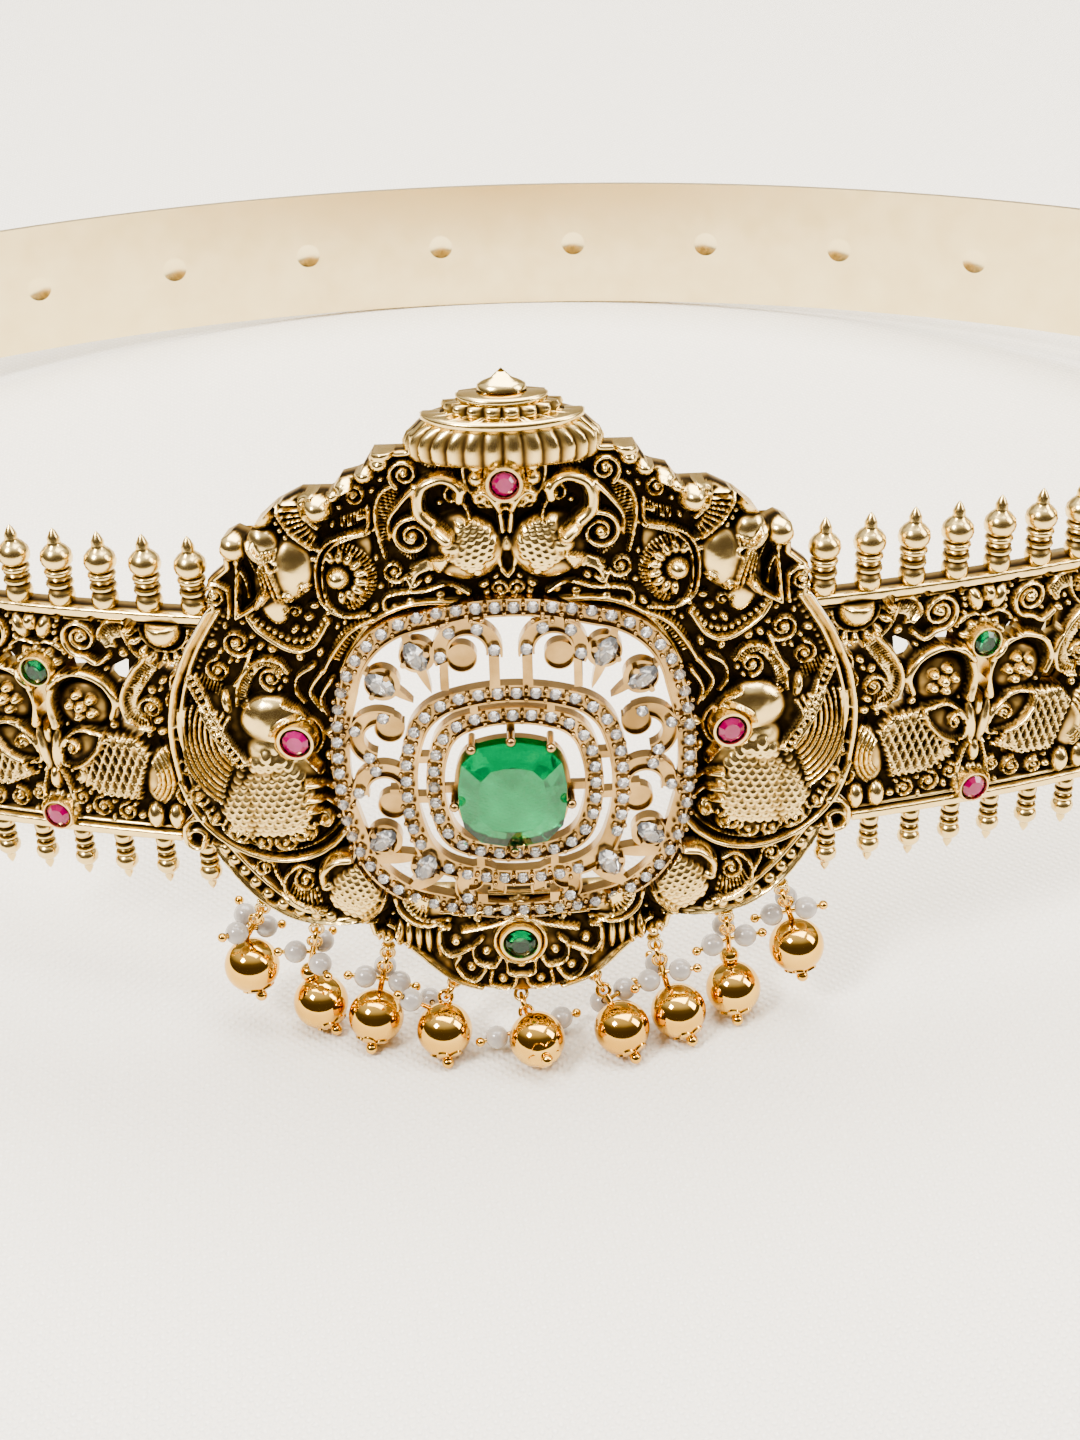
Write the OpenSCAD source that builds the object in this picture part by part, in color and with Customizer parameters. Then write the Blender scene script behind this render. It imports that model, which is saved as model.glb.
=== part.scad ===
// Oddiyanam: a temple waist belt standing on a table, in millimetres.
// The front is laid out in u (along the band), v (height) and h (outwards from the ring),
// then set round a ring of four tangent arcs and leaned back as it rests.

/* [Ring] */
// Radius of the front and back arcs, to the inside of the bands
front_r = 200; // [150:5:260]
// Radius of the two side arcs
side_r = 62; // [40:1:90]
// Lean of the ring towards the back
rest_tilt = 9.5; // [0:0.5:15]

/* [Bands] */
// Height of a band over its rails
band_h = 31; // [24:0.5:40]
// Thickness of the pierced sheet
sheet_t = 1.5; // [1:0.1:2.5]
// Depth of a rail
rail_d = 2.8; // [2:0.1:4]
// Height of a rail
rail_h = 1.4; // [1:0.1:2]
// Half width of the mirrored motif, from the stones to the boss
motif_half = 16.2; // [14:0.1:20]
// Distance from the middle of the medallion to the band's stones
motif_mid = 56.2; // [50:0.1:62]
// Spacing of the finials
finial_pitch = 5.4; // [5:0.1:7]
// Height of a top finial
finial_top = 9.4; // [8:0.1:12]
// Height of a bottom finial
finial_low = 7; // [5:0.1:9]
// Gap between a band and the side of the medallion
band_gap = 0.15; // [0.1:0.05:0.5]

/* [Strip] */
// Height of the plain strip
strip_h = 24.4; // [18:0.2:31]
// Thickness of the plain strip
strip_t = 1.2; // [0.8:0.1:2]
// Height of the strip's middle over the band's middle
strip_v = 3; // [0:0.5:5]
// Radius of a dimple
dimple_r = 2.3; // [1:0.1:3]
// Depth of a dimple
dimple_d = 0.35; // [0.1:0.05:0.6]
// Spacing of the dimples
dimple_pitch = 27.6; // [20:0.2:40]
// Length of the clasp sleeve
clasp_l = 26; // [16:1:40]

/* [Medallion] */
// Thickness of the cast plate
plate_t = 1.6; // [1:0.1:2.5]
// Height of the figures over the ring
figure_h = 3; // [2:0.1:4]
// Height of the highest carving over the ring
crest_h = 4.2; // [3:0.1:6]
// Half width of the opening behind the stone frame
window_w = 19.6; // [16:0.2:22]

/* [Stone frame] */
// Width of a pave strip
pave_w = 2.2; // [1.6:0.1:3]
// Back of the frame over the ring
frame_h = 1.8; // [1.7:0.1:4]
// Thickness of the frame
frame_t = 1.7; // [1:0.1:2]
// Spacing of the pave stones
pave_pitch = 2.25; // [2:0.05:4]
// Radius of a pave stone
pave_r = 0.75; // [0.5:0.05:1]
// Gap round every stone
stone_gap = 0.1; // [0.05:0.05:0.2]
// Width of the emerald
emerald_w = 12.8; // [10:0.1:16]
// Height of the emerald
emerald_l = 14; // [10:0.1:18]

/* [Drops] */
// Radius of a gold bead
bead_r = 3.5; // [3:0.1:5]
// Radius of a pearl
pearl_r = 1.45; // [1:0.05:2]
// Radius of a pearl's pin
pin_r = 0.28; // [0.2:0.02:0.4]
// Radius of a jump ring to the middle of its wire
ring_link_r = 1.2; // [1:0.1:2]
// Radius of the jump ring's wire
ring_wire_r = 0.28; // [0.2:0.02:0.4]
// Radius of an eyelet or a bead's loop to the middle of its wire
loop_r = 0.8; // [0.6:0.05:1]

/* [Hidden] */
$fn = 96;
deg_mm = 180 / (PI * front_r);
arc_step = (front_r - side_r) * sqrt(0.5);
ring_mid_y = -arc_step;
back_mid_y = -2 * arc_step;
strip_in = -0.2 - strip_t;
floor_low = -(back_mid_y + front_r + strip_in + strip_t) * sin(rest_tilt)
          + (strip_v - strip_h / 2) * cos(rest_tilt);
// Middle of the leaning belt, seen from above
middle = [0.5, -103.8];

gold = [0.85, 0.68, 0.35];
old_gold = [0.62, 0.48, 0.24];
ruby = [0.7, 0.0, 0.3];
green = [0.05, 0.6, 0.3];
clear = [0.85, 0.87, 0.9];
pearl = [0.9, 0.9, 0.88];

drop_names = [for (i = [1 : 9]) str("gold_bead_", i)];
ring_names = [for (i = [1 : 9]) str("jump_ring_", i)];
clear_names = [for (i = [1 : 8]) str("clear_stone_", i)];

// The whole ring leans back and stands on the plane z = 0, its middle over the origin.
module rest() {
    translate([-middle[0], -middle[1], -floor_low]) rotate([-rest_tilt, 0, 0]) children();
}

// Local frame at u on the ring: x along the band, y inwards, z up.
module on_ring(u) {
    rotate([0, 0, u * deg_mm]) translate([0, -front_r, 0]) children();
}

// Flat work at (u, v): x along the band, y up, z outwards, starting h over the ring.
module face(u, v, h) {
    on_ring(u) translate([0, -h, v]) rotate([90, 0, 0]) children();
}

// A piece of the front's cylinder wall between two heights over the ring.
module wall(u0, u1, v0, v1, h0, h1) {
    rotate([0, 0, u0 * deg_mm - 90])
        rotate_extrude(angle = (u1 - u0) * deg_mm, $fn = 360)
            translate([front_r + h0, v0]) square([h1 - h0, v1 - v0]);
}

// A flat drawing laid on the front between two heights, bent with the ring.
module laid(u_mid, half, v0, v1, h0, h1) {
    intersection() {
        wall(u_mid - half, u_mid + half, v0, v1, h0, h1);
        face(u_mid, 0, -6) linear_extrude(24) children();
    }
}

// Small raised work drawn in u and v, laid flat against the ring round u_mid.
module raised(u_mid, h0, h1) {
    face(u_mid, 0, h0) linear_extrude(h1 - h0) translate([-u_mid, 0]) children();
}

module flipped(side) {
    if (side < 0) mirror([1, 0, 0]) children();
    else children();
}

module both() {
    children();
    mirror([1, 0, 0]) children();
}

// An arc-shaped line of width w on radius r between two angles.
module arc_line(c, r, w, a0, a1) {
    far = r + w;
    steps = 4;
    translate(c) intersection() {
        difference() {
            circle(r + w / 2, $fn = 180);
            circle(r - w / 2, $fn = 180);
        }
        polygon(concat([[0, 0]], [for (i = [0 : steps])
            let (a = a0 + (a1 - a0) * i / steps) 1.5 * far * [cos(a), sin(a)]]));
    }
}

// A curl: an open ring of line width w whose gap starts at angle a, round a small disc.
module curl(c, r, w, a) {
    arc_line(c, r, w, a + 50, a + 350);
    disc(c, r * 0.42);
}

// A leaf: the overlap of two equal circles, from one point to another.
module leaf(p, q, fat = 0.35) {
    d = q - p;
    l = norm(d) / 2;
    s = fat * l;
    r = (l * l + s * s) / (2 * s);
    translate((p + q) / 2) rotate(atan2(d[1], d[0])) intersection() {
        translate([0, r - s]) circle(r, $fn = 360);
        translate([0, s - r]) circle(r, $fn = 360);
    }
}

module disc(p, r) {
    translate(p) circle(r);
}

// Medallion

// Right half of the outline: u, v
edge_right = [[0, 43.2], [2.2, 41.9], [4.7, 41.6], [4.9, 40.8], [6.2, 39.9], [8.4, 39.2],
    [10.2, 37.4], [10.6, 35.6], [14.2, 35.5], [15.6, 33.2], [17.8, 32.6], [19, 30.9],
    [22.5, 30.8], [25.4, 29.2], [27.6, 27.2], [28.8, 25.4], [30.2, 26], [31.6, 25.2],
    [32, 23.4], [32, 21.4],
    [34.1, 19.6], [34.3, 16], [37.4, 11], [39.8, 5.5], [41, -1.5], [40.3, -7.5],
    [39.2, -12], [40.5, -13.4], [40.6, -15.4], [39.2, -16.7], [36.6, -16.4],
    [34.9, -20], [31.4, -24.2], [27.2, -26.4], [22.8, -26.7],
    [18.8, -26], [18.2, -28.4], [15, -28.6], [12, -31.6], [8.6, -34.6], [4.4, -36.2],
    [0, -36.7]];
edge = concat(edge_right, [for (i = [len(edge_right) - 2 : -1 : 1])
    [-edge_right[i][0], edge_right[i][1]]]);

// Rounded opening behind the stone frame.
module window() {
    intersection() {
        disc([0, -5.5], 22.4);
        translate([-window_w, -21.6]) square([2 * window_w, 37]);
    }
}

module outline() {
    difference() {
        polygon(edge);
        window();
        for (s = [-1, 1]) disc([s * 38.9, -15.2], 0.7);
    }
}

// Raised figures of the right half, in groups that are each laid flat.
module peacock() {
    // rim of the crescent
    arc_line([19.6, -2], 20.3, 1, -28, 50);
    arc_line([29.6, -4.4], 11.4, 1, -140, -20);
    // breast, wing, head, beak, plumes
    disc([26.6, -8.6], 5.6);
    leaf([38.4, 7.5], [29.5, -10], 0.34);
    disc([27.6, 1.8], 3.4);
    leaf([25, -1.4], [21.8, -5], 0.3);
    curl([27.6, 7.9], 2.6, 0.7, 200);
    curl([33.9, 8], 1.9, 0.7, 20);
    curl([31.2, 12.4], 1.9, 0.7, -30);
    leaf([20.8, 6.3], [24.4, 0.6], 0.3);
    leaf([37.2, 10], [33.8, 12.6], 0.25);
    curl([21.2, 7.6], 1.5, 0.6, -60);
    for (i = [0 : 6]) let (a = -145 + 17 * i)
        disc([29.6, -4.4] + 9.7 * [cos(a), sin(a)], 1.15);
}

module lower_panel() {
    // curl border, scaled dome, fan and its bird
    arc_line([22.6, -12.6], 13.5, 1, -100, -12);
    for (i = [0 : 7]) let (a = -96 + 10.6 * i)
        disc([22.6, -12.6] + 12.1 * [cos(a), sin(a)], 0.62);
    disc([18.4, -20.2], 4.6);
    arc_line([18.6, -20], 5.6, 0.7, -40, 100);
    leaf([23.4, -22.6], [28.8, -16.4], 0.3);
    leaf([25.5, -24], [33.4, -16.2], 0.13);
    arc_line([38.8, -15], 1.6, 0.7, 110, 390);
}

module elephant() {
    // head, ear with its flower, crown, trunk, tusk
    disc([25.6, 20.6], 3);
    disc([22.6, 17.2], 2);
    arc_line([18.4, 19.6], 4, 0.8, -115, 120);
    leaf([15.2, 16.4], [14.9, 28], 0.12);
    for (i = [0 : 6]) disc([18.3, 21] + 2.4 * [cos(i * 51.4), sin(i * 51.4)], 0.95);
    leaf([19.6, 27.4], [26.6, 29.2], 0.45);
    disc([20.4, 29.3], 1.7);
    leaf([27.4, 23.4], [30.2, 15.6], 0.3);
    leaf([22, 15.6], [29.8, 14.2], 0.2);
    curl([32.4, 18.6], 1.6, 0.7, 200);
    leaf([34.4, 15.8], [38.8, 4], 0.09);
    for (i = [0 : 3]) disc([16.6 + 1.4 * i, 32 - 0.4 * i], 0.7);
    leaf([15.6, 15.2], [21.4, 8.4], 0.15);
}

module swan() {
    // body, neck, head, wing, tail scrolls
    disc([5.2, 23.2], 3.9);
    arc_line([7.2, 28], 2.9, 1.3, -30, 190);
    disc([4.4, 29.6], 1.3);
    leaf([3.8, 25.2], [10.8, 20.4], 0.35);
    curl([10.4, 25.4], 2.2, 0.7, 190);
    curl([12.2, 21.4], 1.7, 0.6, 150);
    curl([11, 32.4], 1.8, 0.7, -60);
    leaf([12.2, 30.6], [13.4, 22.6], 0.2);
    leaf([13.8, 34.6], [14.6, 29.4], 0.24);
    leaf([0.4, 24.2], [0.6, 30], 0.12);
    curl([2.3, 29.6], 1.6, 0.6, 170);
    curl([1.4, 18.9], 0.9, 0.5, 0);
    leaf([1.8, 18.6], [13.4, 17.6], 0.09);
}

module bowl() {
    // flutes, rim, shells, scroll, petals
    for (i = [0 : 4]) translate([7.2 + 1.55 * i, -29.6 + 0.9 * i]) square([0.8, 3.9]);
    arc_line([0, -20.6], 15.6, 0.8, -90, -33);
    leaf([8.6, -24.6], [13.8, -22.8], 0.4);
    curl([16.6, -28.2], 1.6, 0.7, 100);
    for (i = [0 : 3]) disc([0, -28.2] + 4.6 * [cos(-90 + 40 * i), sin(-90 + 40 * i)], 1.35);
}

module figures() {
    raised(29, plate_t - 0.4, figure_h) peacock();
    raised(26, plate_t - 0.35, figure_h - 0.1) lower_panel();
    raised(24, plate_t - 0.45, figure_h + 0.1) elephant();
    raised(7, plate_t - 0.4, figure_h) swan();
    raised(8, plate_t - 0.4, figure_h - 0.05) bowl();
}

// A slab across the crown: half width w, from v0 to v1, bulging out to h.
module tier(w, v0, v1, h) {
    r = (w * w + h * h) / (2 * h);
    intersection() {
        on_ring(0) translate([0, r - h, v0]) cylinder(h = v1 - v0, r = r);
        on_ring(0) translate([-w, -h - 1, v0]) cube([2 * w, h + 1, v1 - v0]);
    }
}

module crown() {
    tier(10.3, 35, 39.2, 6);
    tier(8.6, 38.8, 39.9, 6.2);
    tier(6.2, 39.6, 41, 4.6);
    tier(4.8, 40.8, 41.8, 4.4);
    face(0, 42.2, 1.2) sphere(1.9);
    for (i = [-6 : 6]) let (x = 1.55 * i, r = (10.3 * 10.3 + 36) / 12)
        face(x, 35.2, 6 - r + sqrt(r * r - x * x) - 0.35)
            rotate([-90, 0, 0]) cylinder(h = 3.7, r = 0.62);
}

module bezel(u, v, r, h) {
    face(u, v, plate_t - 0.6) difference() {
        cylinder(h = h - plate_t + 0.6, r = r + 0.8);
        translate([0, 0, h - plate_t + 0.6 - 1.4]) cylinder(h = 2, r = r + stone_gap);
    }
}

module ball(u, v, h, r) {
    face(u, v, h) sphere(r);
}

module stud(u, v) {
    face(u, v, plate_t - 0.5) cylinder(h = figure_h - plate_t + 1, r = 0.5);
}

// Balls, bosses and bead rows of the right half.
module bosses(s) {
    ball(s * 30.1, 24.4, 1.6, 1.7);
    ball(s * 30.1, 26.2, 1.7, 0.7);
    ball(s * 18.3, 21, 2.6, 1.4);
    ball(s * 25.8, 21.2, 1.8, 2.3);
    ball(s * 20.4, 29.3, 2.4, 1.5);
    ball(s * 27.6, 2.6, 1.3, 3.1);
    ball(s * 26.6, -8.6, -0.8, 5.4);
    ball(s * 18.4, -20.2, 0, 4.4);
    ball(s * 5.2, 23.2, 0.4, 3.8);
    ball(s * 4.4, 29.6, 2.4, 1.2);
    ball(s * 16.6, -28.4, 2, 1.3);
    ball(s * 33.3, 17.8, 2, 1.1);
    for (i = [0 : 4]) stud(s * (22.4 + 1.3 * i), 22.3 + 1.05 * i);
    for (i = [0 : 5]) stud(s * (30.6 + 1.25 * i), -3.6 + 1.9 * i);
}

module hollow_for_stones() {
    for (s = [-1, 1]) face(s * 25.1, 0, crest_h - 1.4) cylinder(h = 9, r = 1.6 + stone_gap);
    face(0, 33, 5) cylinder(h = 9, r = 1.4 + stone_gap);
    face(0, -28.2, 3) cylinder(h = 9, r = 1.9 + stone_gap);
}

// Drops, left to right: u and v of the eyelet; u and h of the bead; v of the bead, 0 where it
// rests on the table; sideways, outward and upward parts of its tip; turns of its pearls
drops = [
    [-31.9, -25.2, -34.2, 1.2, -34.2, [0.3, 0.6, -1], [-40, 150, 60]],
    [-25.3, -27.9, -25.8, 0.8, 0, [0.6, 0.8, -0.8], [-120, -10, 120]],
    [-16.6, -31.2, -18.4, 2.8, 0, [-0.2, 0.9, -0.8], [-5, 95, -170]],
    [-8.4, -35.4, -9.7, 4.9, 0, [0.1, 0.9, -0.8], [-30, 80]],
    [-0.2, -37.6, 1.6, 6.7, 0, [0.3, 1, 0.1], [-15, 152]],
    [9, -35, 12, 5.6, 0, [0.5, 0.9, -0.8], [65, 125]],
    [16.7, -31.2, 19.3, 3.6, 0, [0.5, 0.9, -0.8], [-30, 70, -170]],
    [25.6, -28.1, 26.9, 0.8, 0, [0.1, 0.9, -0.8], [-20, 175, 80]],
    [32.6, -24.9, 34.9, 1.2, -33.8, [0.2, 0.6, -1], [0, 90, -175]]];
eyelet_h = 1.5;
eye_wire_r = 0.25;
// A resting bead stands on the petals of its cap
cap_t = 0.22;
bead_lift = 0.15;

function spot(u, v, h) = [(front_r + h) * sin(u * deg_mm), -(front_r + h) * cos(u * deg_mm), v];
function unit(d) = d / norm(d);
function eye_at(d) = spot(d[0], d[1], eyelet_h);
function bead_at(d) =
    let (p = spot(d[2], 0, d[3]),
         z = (floor_low + bead_r + bead_lift + p[1] * sin(rest_tilt)) / cos(rest_tilt))
    [p[0], p[1], d[4] == 0 ? z : d[4]];
// The tip's direction is given on the table and turned into the leaning ring's frame.
function tip_of(d) = unit([d[5][0],
    -d[5][1] * cos(rest_tilt) - d[5][2] * sin(rest_tilt),
    -d[5][1] * sin(rest_tilt) + d[5][2] * cos(rest_tilt)]);
function top_at(d) = bead_at(d) - (bead_r - 0.2) * tip_of(d);

// Local frame at p with z towards q; where q lies below, x is then to the left and y inwards.
module aimed(p, q) {
    d = unit(q - p);
    turn = atan2(d[1], d[0]);
    translate(p) rotate([0, acos(d[2]), turn]) rotate([0, 0, turn]) children();
}

module wire_ring(r, w) {
    rotate_extrude() translate([r, 0]) circle(w);
}

module eyelets() {
    for (d = drops) aimed(eye_at(d), top_at(d)) {
        rotate([90, 0, 0]) wire_ring(loop_r, eye_wire_r);
        translate([0, 0, -loop_r - 1.5]) cylinder(h = 1.6, r = 0.35);
    }
}

module medallion() {
    rest() color(old_gold) difference() {
        union() {
            laid(0, 43, -42, 47, -0.5, plate_t) outline();
            figures();
            mirror([1, 0, 0]) figures();
            crown();
            for (s = [-1, 1]) {
                bosses(s);
                bezel(s * 25.1, 0, 1.6, crest_h);
                on_ring(s * 38) hung(-15.6) finial(finial_low);
            }
            bezel(0, -28.2, 1.9, crest_h);
            face(0, 33, plate_t - 0.6) cylinder(h = 5.6, r = 2.2);
            eyelets();
        }
        hollow_for_stones();
        face(0, 0, -6) linear_extrude(6 + figure_h + 6) window();
        // nothing shows behind the plate
        wall(-43, 43, -42, 47, -8, 0);
    }
}

// Stone frame

ring_mid_v = [-3.3, -6.4, -6.1];
ring_out_r = [21.5, 13.7, 10.5];

// A square with bulging sides and rounded corners, r from middle to side.
module squircle(r) {
    k = 0.764 * r;
    big = r + k;
    t = 20;
    c = (big - 0.486 * r) * sin(t);
    small = 0.486 * r;
    near = c + small * sin(t);
    far = c + small * cos(t);
    intersection() {
        disc([0, -k], big);
        disc([0, k], big);
        disc([-k, 0], big);
        disc([k, 0], big);
        polygon([[near, far], [far, near], [far + 3, 0], [far, -near], [near, -far], [0, -far - 3],
                 [-near, -far], [-far, -near], [-far - 3, 0], [-far, near], [-near, far],
                 [0, far + 3]]);
    }
    for (x = [-c, c], y = [-c, c]) disc([x, y], small);
}

module squircle_ring(v, r, w) {
    translate([0, v]) difference() {
        squircle(r);
        squircle(r - w);
    }
}

// Comma loops of the right half: middle, radius, first and last angle, u and v of the round end
commas = [
    [[4.9, 11.6], 3.1, -25, 190, [5.6, 10.9]],
    [[15.6, 0.4], 2.8, -80, 120, [14.4, 1.8]],
    [[15.4, -6.8], 2.9, -18, 170, [14.6, -8.6]],
    [[4.6, -20.2], 2.2, -60, 200, [5.8, -18.9]]];
comma_w = 1.9;
// Clear stones of the right half: u, v, turn
clears = [[10.7, 11.2, 62], [14.9, 7.6, 36], [15.8, -13.4, -40], [10.9, -17.2, -62]];

module comma_lines(w) {
    for (c = commas) {
        arc_line(c[0], c[1], w, c[2], c[3]);
        disc(c[4], 1.3 + w / 4);
    }
}

module frame_flat() {
    for (i = [0 : 2]) squircle_ring(ring_mid_v[i], ring_out_r[i], pave_w);
    both() {
        comma_lines(comma_w);
        // struts from the commas and between the rings
        translate([1.3, 6.8]) square([1.2, 4.4]);
        translate([7.2, 6.8]) square([1, 4.6]);
        translate([4.4, 14.2]) square([1, 2.2]);
        translate([12.6, 1.6]) square([2, 1]);
        translate([17.8, -0.4]) square([2.2, 1]);
        translate([12.6, -7.4]) square([2.2, 1]);
        translate([17.8, -7]) square([2.2, 1]);
        translate([10, -8.2]) square([2.4, 0.9]);
        translate([10, -2.8]) square([2.4, 0.9]);
        translate([4, 3.8]) square([0.9, 2]);
        translate([4, -18.9]) square([0.9, 3]);
        translate([3.8, -23.6]) square([1.2, 2.4]);
        leaf([11.4, 5.2], [17.6, 9.6], 0.14);
        leaf([9.2, 6.4], [12.6, 15.6], 0.14);
        leaf([11.2, -15.8], [18.8, -16.2], 0.2);
        leaf([8.4, -17.4], [13.6, -20.6], 0.3);
        for (c = clears) disc([c[0], c[1]], 2.1);
    }
}

module groove_flat() {
    for (i = [0 : 2]) squircle_ring(ring_mid_v[i], ring_out_r[i] - 0.25, pave_w - 0.5);
    both() comma_lines(comma_w - 0.5);
}

emerald_at = [-0.3, -6.5];
emerald_h = 5;
prongs = [[-4.6, 6.6], [0, 7.5], [4.6, 6.6], [-6.9, -1], [6.9, -1], [0, -7.5]];
groove_d = 0.6;

module cz_frame() {
    top = frame_h + frame_t;
    rest() color(gold) {
        difference() {
            laid(0, 24, -30, 20, frame_h, top) frame_flat();
            laid(0, 24, -30, 20, top - groove_d, top + 1) groove_flat();
            for (s = [-1, 1], c = clears)
                face(s * c[0], c[1], top - 1) cylinder(h = 3, r = 1.7);
        }
        // gallery and prongs under the emerald
        face(emerald_at[0], emerald_at[1], frame_h + 0.4) {
            linear_extrude(1.2) difference() {
                squircle(6.9);
                squircle(5.7);
            }
            for (p = prongs) translate([p[0], p[1], 0]) {
                translate([-p[0] * 0.12, -p[1] * 0.12, 0.3]) cylinder(h = 0.9, r = 0.55);
                cylinder(h = emerald_h - frame_h + 0.2, r = 0.45);
                translate([0, 0, emerald_h - frame_h + 0.2]) sphere(0.6);
            }
            for (a = [0, 90, 180, 270]) rotate([0, 0, a])
                translate([6.2, -0.5, 0]) cube([3.2, 1, 0.9]);
        }
        for (s = [-1, 1], c = clears, e = [-1, 1])
            face(s * c[0] + e * s * 1.5 * sin(c[2]), c[1] - e * 1.5 * cos(c[2]), top - 0.2)
                cylinder(h = 1.2, r = 0.35);
    }
}

// Stones

// A rounded outline point: a superellipse of power n.
function rounded(a, w, l, n) =
    let (c = cos(a), s = sin(a), k = pow(pow(abs(c), n) + pow(abs(s), n), -1 / n))
    [w / 2 * k * c, l / 2 * k * s];

function stone_points(w, l, sides, crown, pavilion, table, power) = concat(
    [for (i = [0 : sides - 1]) let (p = rounded((i + 0.5) * 360 / sides, w, l, power))
        [p[0] * table, p[1] * table, crown]],
    [for (i = [0 : sides - 1]) let (p = rounded((i + 0.5) * 360 / sides, w, l, power))
        [p[0], p[1], 0]],
    [[0, 0, -pavilion]]);

function stone_faces(sides, start) = concat(
    [[for (i = [sides - 1 : -1 : 0]) start + i]],
    [for (i = [0 : sides - 1]) [start + i, start + (i + 1) % sides,
        start + sides + (i + 1) % sides, start + sides + i]],
    [for (i = [0 : sides - 1]) [start + sides + i, start + sides + (i + 1) % sides,
        start + 2 * sides]]);

module cut_stone(w, l, sides, crown, pavilion, table, power = 2) {
    polyhedron(stone_points(w, l, sides, crown, pavilion, table, power), stone_faces(sides, 0));
}

module bowl_emerald() {
    rest() color(green) face(0, -28.2, crest_h - 0.2) cut_stone(3.8, 3.8, 12, 0.5, 1, 0.6);
}

module emerald() {
    rest() color(green) face(emerald_at[0], emerald_at[1], emerald_h)
        cut_stone(emerald_w, emerald_l, 16, 1.3, 2.4, 0.62, 3);
}

module ruby_stone(u, v, r, h) {
    rest() color(ruby) face(u, v, h) cut_stone(2 * r, 2 * r, 10, 0.5, 0.9, 0.6);
}

module clear_stone(i) {
    s = i < 4 ? -1 : 1;
    c = clears[i % 4];
    rest() color(clear) face(s * c[0], c[1], frame_h + frame_t + 0.2)
        rotate([0, 0, s > 0 ? c[2] : 180 - c[2]]) cut_stone(4.2, 2.6, 10, 0.7, 0.9, 0.55, 1.6);
}

// Pave stones: place of each on the frame
function along_ring(i) =
    let (r = ring_out_r[i] - pave_w / 2, count = floor(6.75 * r / pave_pitch))
    [for (k = [0 : count - 1]) let (p = rounded(k * 360 / count, 2 * r, 2 * r, 2.8))
        [p[0], p[1] + ring_mid_v[i]]];
function along_comma(c, s) =
    let (count = floor((c[3] - c[2]) * PI / 180 * c[1] / (pave_pitch * 1.1)))
    concat([for (k = [0 : count - 1])
        let (a = c[2] + 14 + (c[3] - c[2] - 28) * k / (count - 1))
        [s * (c[0][0] + c[1] * cos(a)), c[0][1] + c[1] * sin(a)]]);
function far_from(p, spots, d) = min([for (q = spots) norm(p - q)]) > d;
clear_spots = [for (s = [-1, 1], c = clears) [s * c[0], c[1]]];
ring_spots = [for (i = [0 : 2], p = along_ring(i)) if (far_from(p, clear_spots, 2.7)) p];
comma_spots = [for (s = [-1, 1], c = commas, p = along_comma(c, s))
    if (far_from(p, ring_spots, 2 * pave_r + 0.2) && far_from(p, clear_spots, 2.7)) p];
pave_spots = concat(ring_spots, comma_spots);
pave_sides = 8;
pave_points = 2 * pave_sides + 1;

function placed(q, p) =
    let (a = p[0] * deg_mm, x = q[0], h = frame_h + frame_t + q[2])
    [x * cos(a) + (front_r + h) * sin(a), x * sin(a) - (front_r + h) * cos(a), q[1] + p[1]];

module pave_stones() {
    shape = stone_points(2 * pave_r, 2 * pave_r, pave_sides, 0.35, 0.45, 0.6, 2);
    rest() color(clear) polyhedron(
        [for (p = pave_spots, q = shape) placed(q, p)],
        [for (n = [0 : len(pave_spots) - 1], f = stone_faces(pave_sides, n * pave_points)) f]);
}

// Bands

stone_v = [6.9, -12.9];

// Gaps of the motif, x outwards from the stones' axis and mirrored, v up.
module gaps() {
    polygon([[-0.9, 4.6], [0.9, 4.6], [0.7, 0.6], [0, -1.8], [-0.7, 0.6]]);
    both() {
        polygon([[2.6, 6.6], [4.2, 8.6], [5.9, 7.9], [5, 6.9]]);
        polygon([[9, 7.6], [11.2, 8.8], [10.9, 5.8], [9.3, 5.2], [8.4, 6.3]]);
        polygon([[9, -0.9], [9.4, 1.6], [12.4, -0.4], [11.6, -1.6]]);
        disc([14.2, -2.1], 0.5);
        polygon([[14.9, 8.6], [16.4, 9.2], [17.6, 7.6], [15.6, 7.2]]);
        disc([3.6, 14], 0.55);
        disc([7.8, 14], 0.6);
        disc([12.4, 14], 0.7);
        disc([5, -9.6], 0.6);
        disc([3, -6], 0.45);
    }
}

module sheet(x0, x1) {
    difference() {
        translate([x0, 0.5 - band_h / 2]) square([x1 - x0, band_h - 1]);
        gaps();
    }
}

// Raised work of the motif, x positive.
module scrolls() {
    curl([5.2, 11.6], 2.6, 0.8, 250);
    curl([10.3, 11.9], 2.2, 0.8, 200);
    leaf([6.6, 9.2], [14.2, 12.4], 0.2);
    leaf([0.6, 10], [2.4, 14], 0.3);
    for (i = [0 : 6]) let (a = 180 + 30 * i) disc([16.2, 13.2] + 3 * [cos(a), sin(a)], 0.9);
    // leaf scroll beside the gap
    arc_line([13.2, 4.4], 3.6, 1.1, 150, 290);
    curl([13, 3], 1.7, 0.7, 180);
    leaf([12.2, 10.4], [16, 6.2], 0.22);
}

module band_elephant() {
    // trunk curl and its figure, ear, blanket, rump, legs
    arc_line([5, 2.4], 3.7, 1.3, -60, 185);
    disc([5, 2], 2);
    leaf([1.8, -2.6], [8.2, -1.2], 0.5);
    polygon([[3.4, -8.4], [7.4, -2], [12.2, -2.6], [11, -9.8], [5.2, -9.6]]);
    leaf([11.6, -3], [13.8, -13.6], 0.28);
    leaf([0.4, -4], [2.2, -9.6], 0.3);
    curl([4.6, -11.4], 1.9, 0.7, 180);
    curl([9.4, -12.2], 1.2, 0.6, 0);
    leaf([14.4, -3.4], [16, -12.8], 0.18);
}

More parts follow.
